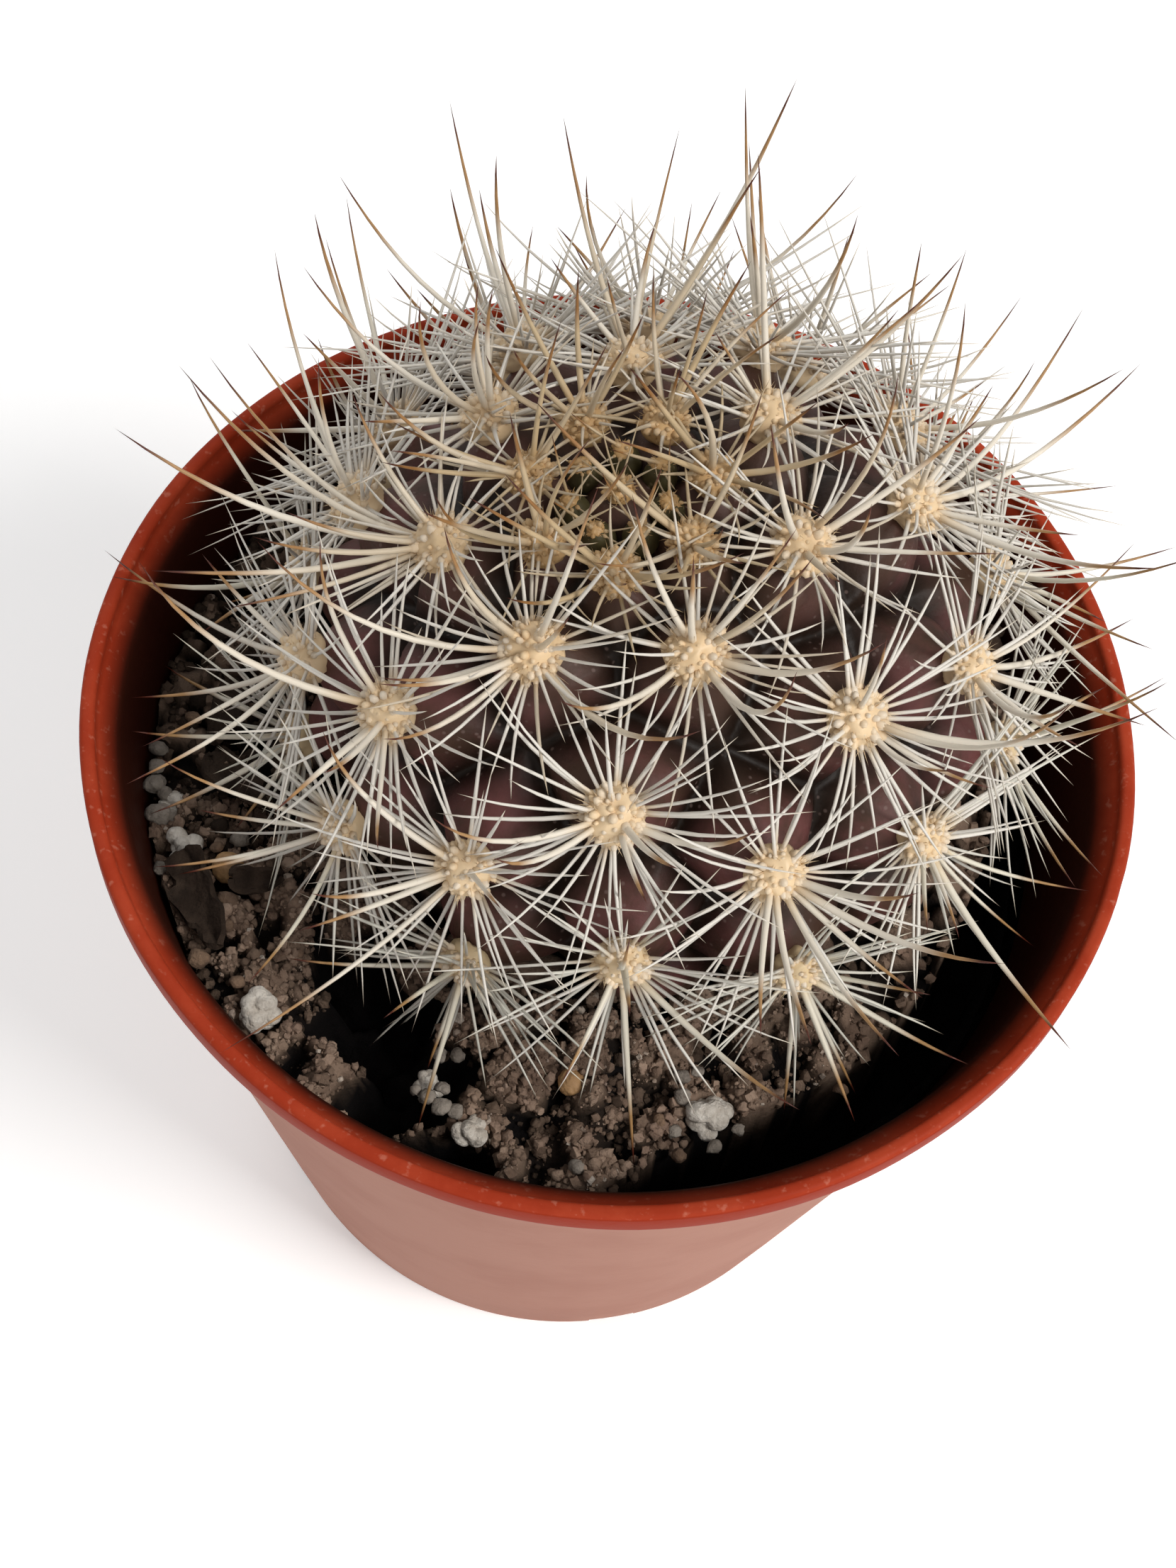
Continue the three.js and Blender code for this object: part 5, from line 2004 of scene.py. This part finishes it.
@dataclass
class SmallGrains:
    """Small rounded grains that lie at the wall on the left and beside the crack."""

    bed: BVHTree
    pot: NurseryPot
    level: float = SOIL_LEVEL
    grey: tuple[Bead, ...] = (
        Bead(-23.8, -3.0, 0.65), Bead(-23.7, -4.1, 0.5), Bead(-24.1, -5.2, 0.6), Bead(-23.0, -5.6, 0.42),
        Bead(-23.5, -7.1, 0.7), Bead(-22.4, -6.8, 0.45), Bead(-22.4, -10.1, 0.42), Bead(-18.5, -7.6, 0.5),
        Bead(-6.1, -17.9, 0.42), Bead(-5.2, -17.7, 0.4), Bead(-5.7, -19.6, 0.42), Bead(-6.4, -20.2, 0.45),
        Bead(-5.6, -20.6, 0.5), Bead(-4.9, -20.7, 0.4), Bead(-7.0, -19.9, 0.34), Bead(1.6, -22.6, 0.5),
        Bead(6.2, -17.0, 0.42), Bead(6.4, -18.1, 0.5), Bead(8.3, -20.5, 0.45), Bead(6.2, -20.0, 0.36),
        Bead(9.4, -19.4, 0.38), Bead(7.0, -16.6, 0.34),
    )
    tan: tuple[Bead, ...] = (
        Bead(-22.4, -0.8, 0.55), Bead(-19.7, -10.3, 0.45), Bead(-19.6, -8.2, 0.36), Bead(-18.4, -11.3, 0.55),
        Bead(-18.2, -12.6, 0.40), Bead(-14.2, -13.5, 0.3), Bead(-19.4, -14.8, 0.6), Bead(-17.0, -15.6, 0.42),
        Bead(5.4, -19.6, 0.4), Bead(6.6, -21.2, 0.4), Bead(14.4, -16.4, 0.4),
    )

    def build(self, finishes: Finishes) -> None:
        """Model and dress the grains, one piece for each kind.

        Args:
            finishes: All materials of the scene.
        """
        blank = CrumbBlank(2, 0.95)
        kinds = (("grey_grains", self.grey, finishes.grey_grain, "perlite"),
                 ("tan_grains", self.tan, finishes.tan_grain, "pebble"))
        for name, beads, material, slot in kinds:
            heap = MeshHeap()
            for index, bead in enumerate(beads):
                room = float(self.pot.inner_radius(self.level)) - 0.1 - bead.radius
                inward = min(1.0, room / math.hypot(bead.x, bead.y))
                x, y = bead.x * inward, bead.y * inward
                hit = drop(self.bed, x, y)[0]
                ground = max(hit.z if hit is not None else 0.0, self.level - 0.5)
                place = np.array([x, y, ground + 0.3 * bead.radius])
                lumps = 1 + 0.4 * value_noise(blank.points + 7 * index, 0.75, 60)
                squash = np.array([1.0, 0.8 + 0.04 * (index % 5), 0.75])
                heap.add(place + blank.points * lumps[:, None] * squash * bead.radius, blank.faces, 0)
            finish_piece(heap.piece(name), [material])


@dataclass(frozen=True)
class ChipSize:
    """One bark chip: its middle, its heading in degrees, its length, width and tilt."""

    x: float
    y: float
    heading: float
    length: float
    width: float
    tilt: float


@dataclass
class BarkChips:
    """Thin dark curved chips of bark on the soil at the left."""

    bed: BVHTree
    chips: tuple[ChipSize, ...] = (
        ChipSize(-19.7, -11.9, -60.0, 5.6, 2.0, 20.0),
        ChipSize(-19.4, -4.6, -40.0, 4.2, 2.0, -14.0),
        ChipSize(-20.6, -0.6, -100.0, 3.6, 1.8, 12.0),
        ChipSize(-17.2, -10.2, 10.0, 2.6, 1.5, 10.0),
    )
    thickness: float = 0.32
    cupping: float = 0.35
    rise: float = 0.55
    lowest: float = 40.4
    crease: float = 50.0

    def build(self, finishes: Finishes) -> None:
        """Model and dress each chip.

        Args:
            finishes: All materials of the scene.
        """
        for index, chip in enumerate(self.chips):
            piece = primitive(bpy.ops.mesh.primitive_grid_add, f"bark_chip_{index + 1}", x_subdivisions=26,
                              y_subdivisions=14, size=2.0 * MM)
            flat = points_of(piece)
            narrowing = np.sqrt(1 - 0.96 * flat[:, 0] ** 2) * (1 - 0.35 * flat[:, 0])
            x = flat[:, 0] * chip.length / 2
            y = flat[:, 1] * narrowing * chip.width / 2
            ragged = value_noise(np.stack([x, y, x * 0], axis=1), 0.8, 80 + index)
            edge = np.maximum(np.abs(flat[:, 0]), np.abs(flat[:, 1])) ** 6
            x, y = x * (1 + 0.2 * ragged * edge), y * (1 + 0.4 * ragged * edge) + 0.22 * flat[:, 0] ** 2
            z = self.cupping * flat[:, 1] ** 2 + 0.12 * ragged
            z += 0.05 * value_noise(np.stack([x * 0.3, y, x * 0], axis=1), 0.22, 90 + index)
            turn = Matrix.Rotation(math.radians(chip.heading), 3, "Z")
            turn = turn @ Matrix.Rotation(math.radians(chip.tilt), 3, "X")
            ground = drop(self.bed, chip.x, chip.y)[0].z
            place = np.array([chip.x, chip.y, max(ground, self.lowest) + self.rise])
            move_points(piece, np.stack([x, y, z], axis=1) @ np.array(turn).T + place)
            apply_modifier(piece, "SOLIDIFY", thickness=self.thickness * MM, offset=0.0)
            grain = value_noise(points_of(piece), 0.5, 95)
            write_attribute(piece, "shade", np.clip(0.20 + 0.10 * grain, 0.05, 1.0))
            finish_piece(piece, [finishes.soil], crease=self.crease)


@dataclass
class LooseGrains:
    """The largest grains on the soil: white perlite and tan stones, each where the frame has it."""

    fineness: int = 5
    lobes: int = 15
    lobe_reach: float = 0.58
    lobe_radius: float = 0.40
    seed: int = 33

    def lobed(self, ball: np.ndarray, index: int) -> np.ndarray:
        """Give the outline of several lumps grown together, as a reach for each direction.

        Args:
            ball: Directions as rows of length 1.
            index: The grain's number.

        Returns:
            One reach for each direction.
        """
        draw = np.random.default_rng(self.seed + index)
        reach = np.full(len(ball), 0.5)
        for _ in range(self.lobes):
            centre = unit(draw.normal(size=3)) * self.lobe_reach * draw.uniform(0.7, 1.2)
            radius = self.lobe_radius * draw.uniform(0.75, 1.15)
            along = ball @ centre
            inside = along ** 2 - centre @ centre + radius ** 2
            reach = np.maximum(reach, np.where(inside > 0, along + np.sqrt(np.maximum(inside, 0)), 0))
        return reach

    def build(self, finishes: Finishes) -> None:
        """Model and dress each grain in its node's box.

        Args:
            finishes: All materials of the scene.
        """
        names = [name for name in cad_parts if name.startswith(("perlite", "pebble"))]
        for index, name in enumerate(sorted(names)):
            low, high = (np.array(corner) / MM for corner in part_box(name))
            stone = name.startswith("pebble")
            piece = primitive(bpy.ops.mesh.primitive_ico_sphere_add, f"{name}_grain",
                              subdivisions=self.fineness, radius=1.0)
            ball = unit(points_of(piece))
            lumps = 0.07 * value_noise(ball, 0.6, 30 + index) + 0.04 * value_noise(ball, 0.25, 50 + index)
            reach = np.ones(len(ball)) if stone else self.lobed(ball, index)
            ball = ball * (reach * (1 + lumps))[:, None]
            middle = (ball.max(axis=0) + ball.min(axis=0)) / 2
            ball = (ball - middle) * 2 / (ball.max(axis=0) - ball.min(axis=0))
            move_points(piece, (low + high) / 2 + ball * (high - low) / 2)
            material = finishes.pebble if stone else finishes.perlite
            finish_piece(piece, [material], [name])


# Studio.


@dataclass(frozen=True)
class SoftLight:
    """One square area light that looks at the plant."""

    name: str
    place: tuple[float, float, float]
    size: float
    power: float
    colour: Colour = WHITE

    def build(self, target: Vector) -> None:
        """Hang the light.

        Args:
            target: The point to look at, in metres.
        """
        light = bpy.data.lights.new(self.name, "AREA")
        light.size = self.size
        light.energy = self.power
        light.color = self.colour
        lamp = bpy.data.objects.new(self.name, light)
        lamp.location = Vector(self.place)
        lamp.rotation_euler = (target - lamp.location).to_track_quat("-Z", "Y").to_euler()
        bpy.context.scene.collection.objects.link(lamp)


@dataclass
class Studio:
    """Pale floor, soft lights and the camera at the photograph's viewing angle."""

    camera_place: tuple[float, float, float] = (-0.776, -62.49, 154.69)
    camera_pitch: float = 61.80
    camera_roll: float = 8.735
    focal_pixels: float = 3385.5
    image_height: float = 2212.0
    sensor: float = 36.0
    floor_size: float = 4.0
    lights: tuple[SoftLight, ...] = (
        SoftLight("key_light", (0.38, -0.18, 0.50), 0.22, 3.0, (1.0, 0.98, 0.95)),
        SoftLight("fill_light", (-0.24, 0.46, 0.42), 0.5, 1.3, (0.97, 0.99, 1.0)),
        SoftLight("front_light", (0.10, -0.60, 0.25), 0.5, 0.8, (1.0, 0.99, 0.97)),
    )
    sky: Colour = WHITE
    sky_strength: float = 0.37
    aim: tuple[float, float, float] = (0.0, 0.0, 0.045)

    def build_camera(self) -> None:
        """Set up the camera."""
        pitch, roll = math.radians(self.camera_pitch), math.radians(self.camera_roll)
        forward = Vector((0, math.cos(pitch), -math.sin(pitch)))
        level_up = Vector((0, math.sin(pitch), math.cos(pitch)))
        right = Vector((1, 0, 0)) * math.cos(roll) + level_up * math.sin(roll)
        up = right.cross(forward)
        camera = bpy.data.cameras.new("photo_camera")
        camera.sensor_fit = "VERTICAL"
        camera.sensor_height = self.sensor
        camera.lens = self.focal_pixels / self.image_height * self.sensor
        camera.clip_start = 0.001
        camera.clip_end = 20.0
        stand = bpy.data.objects.new("photo_camera", camera)
        turn = Matrix((right, up, -forward)).transposed()
        stand.matrix_world = Matrix.Translation(Vector(self.camera_place) * MM) @ turn.to_4x4()
        bpy.context.scene.collection.objects.link(stand)
        bpy.context.scene.camera = stand

    def build(self, finishes: Finishes) -> None:
        """Lay the floor and set the lights, the surroundings and the camera.

        Args:
            finishes: All materials of the scene.
        """
        floor = primitive(bpy.ops.mesh.primitive_plane_add, "studio_floor", size=self.floor_size,
                          location=(0, 0, 0))
        floor.data.materials.append(finishes.floor)
        world = bpy.data.worlds.new("studio_sky")
        bpy.context.scene.world = world
        world.use_nodes = True
        background = world.node_tree.nodes["Background"]
        background.inputs["Color"].default_value = (*self.sky, 1.0)
        background.inputs["Strength"].default_value = self.sky_strength
        for light in self.lights:
            light.build(Vector(self.aim))
        bpy.context.scene.view_settings.view_transform = "Standard"
        self.build_camera()


def main() -> None:
    """Build the potted cactus, piece by piece, and its studio."""
    logging.basicConfig(level=logging.INFO, format="%(name)s: %(message)s")
    finishes = Finishes()
    studio = Studio()
    studio.build(finishes)
    pot = NurseryPot()
    pot.build(finishes)
    form = StemForm()
    StemBody(form).build(finishes)
    tree = tree_of(SoilBed(pot).build(finishes))
    SoilCrumbs(tree, pot).build(finishes)
    SmallGrains(tree, pot).build(finishes)
    BarkChips(tree).build(finishes)
    LooseGrains().build(finishes)
    Spines(form, Limits(tree, pot)).build(finishes)


if __name__ == "__main__":
    main()
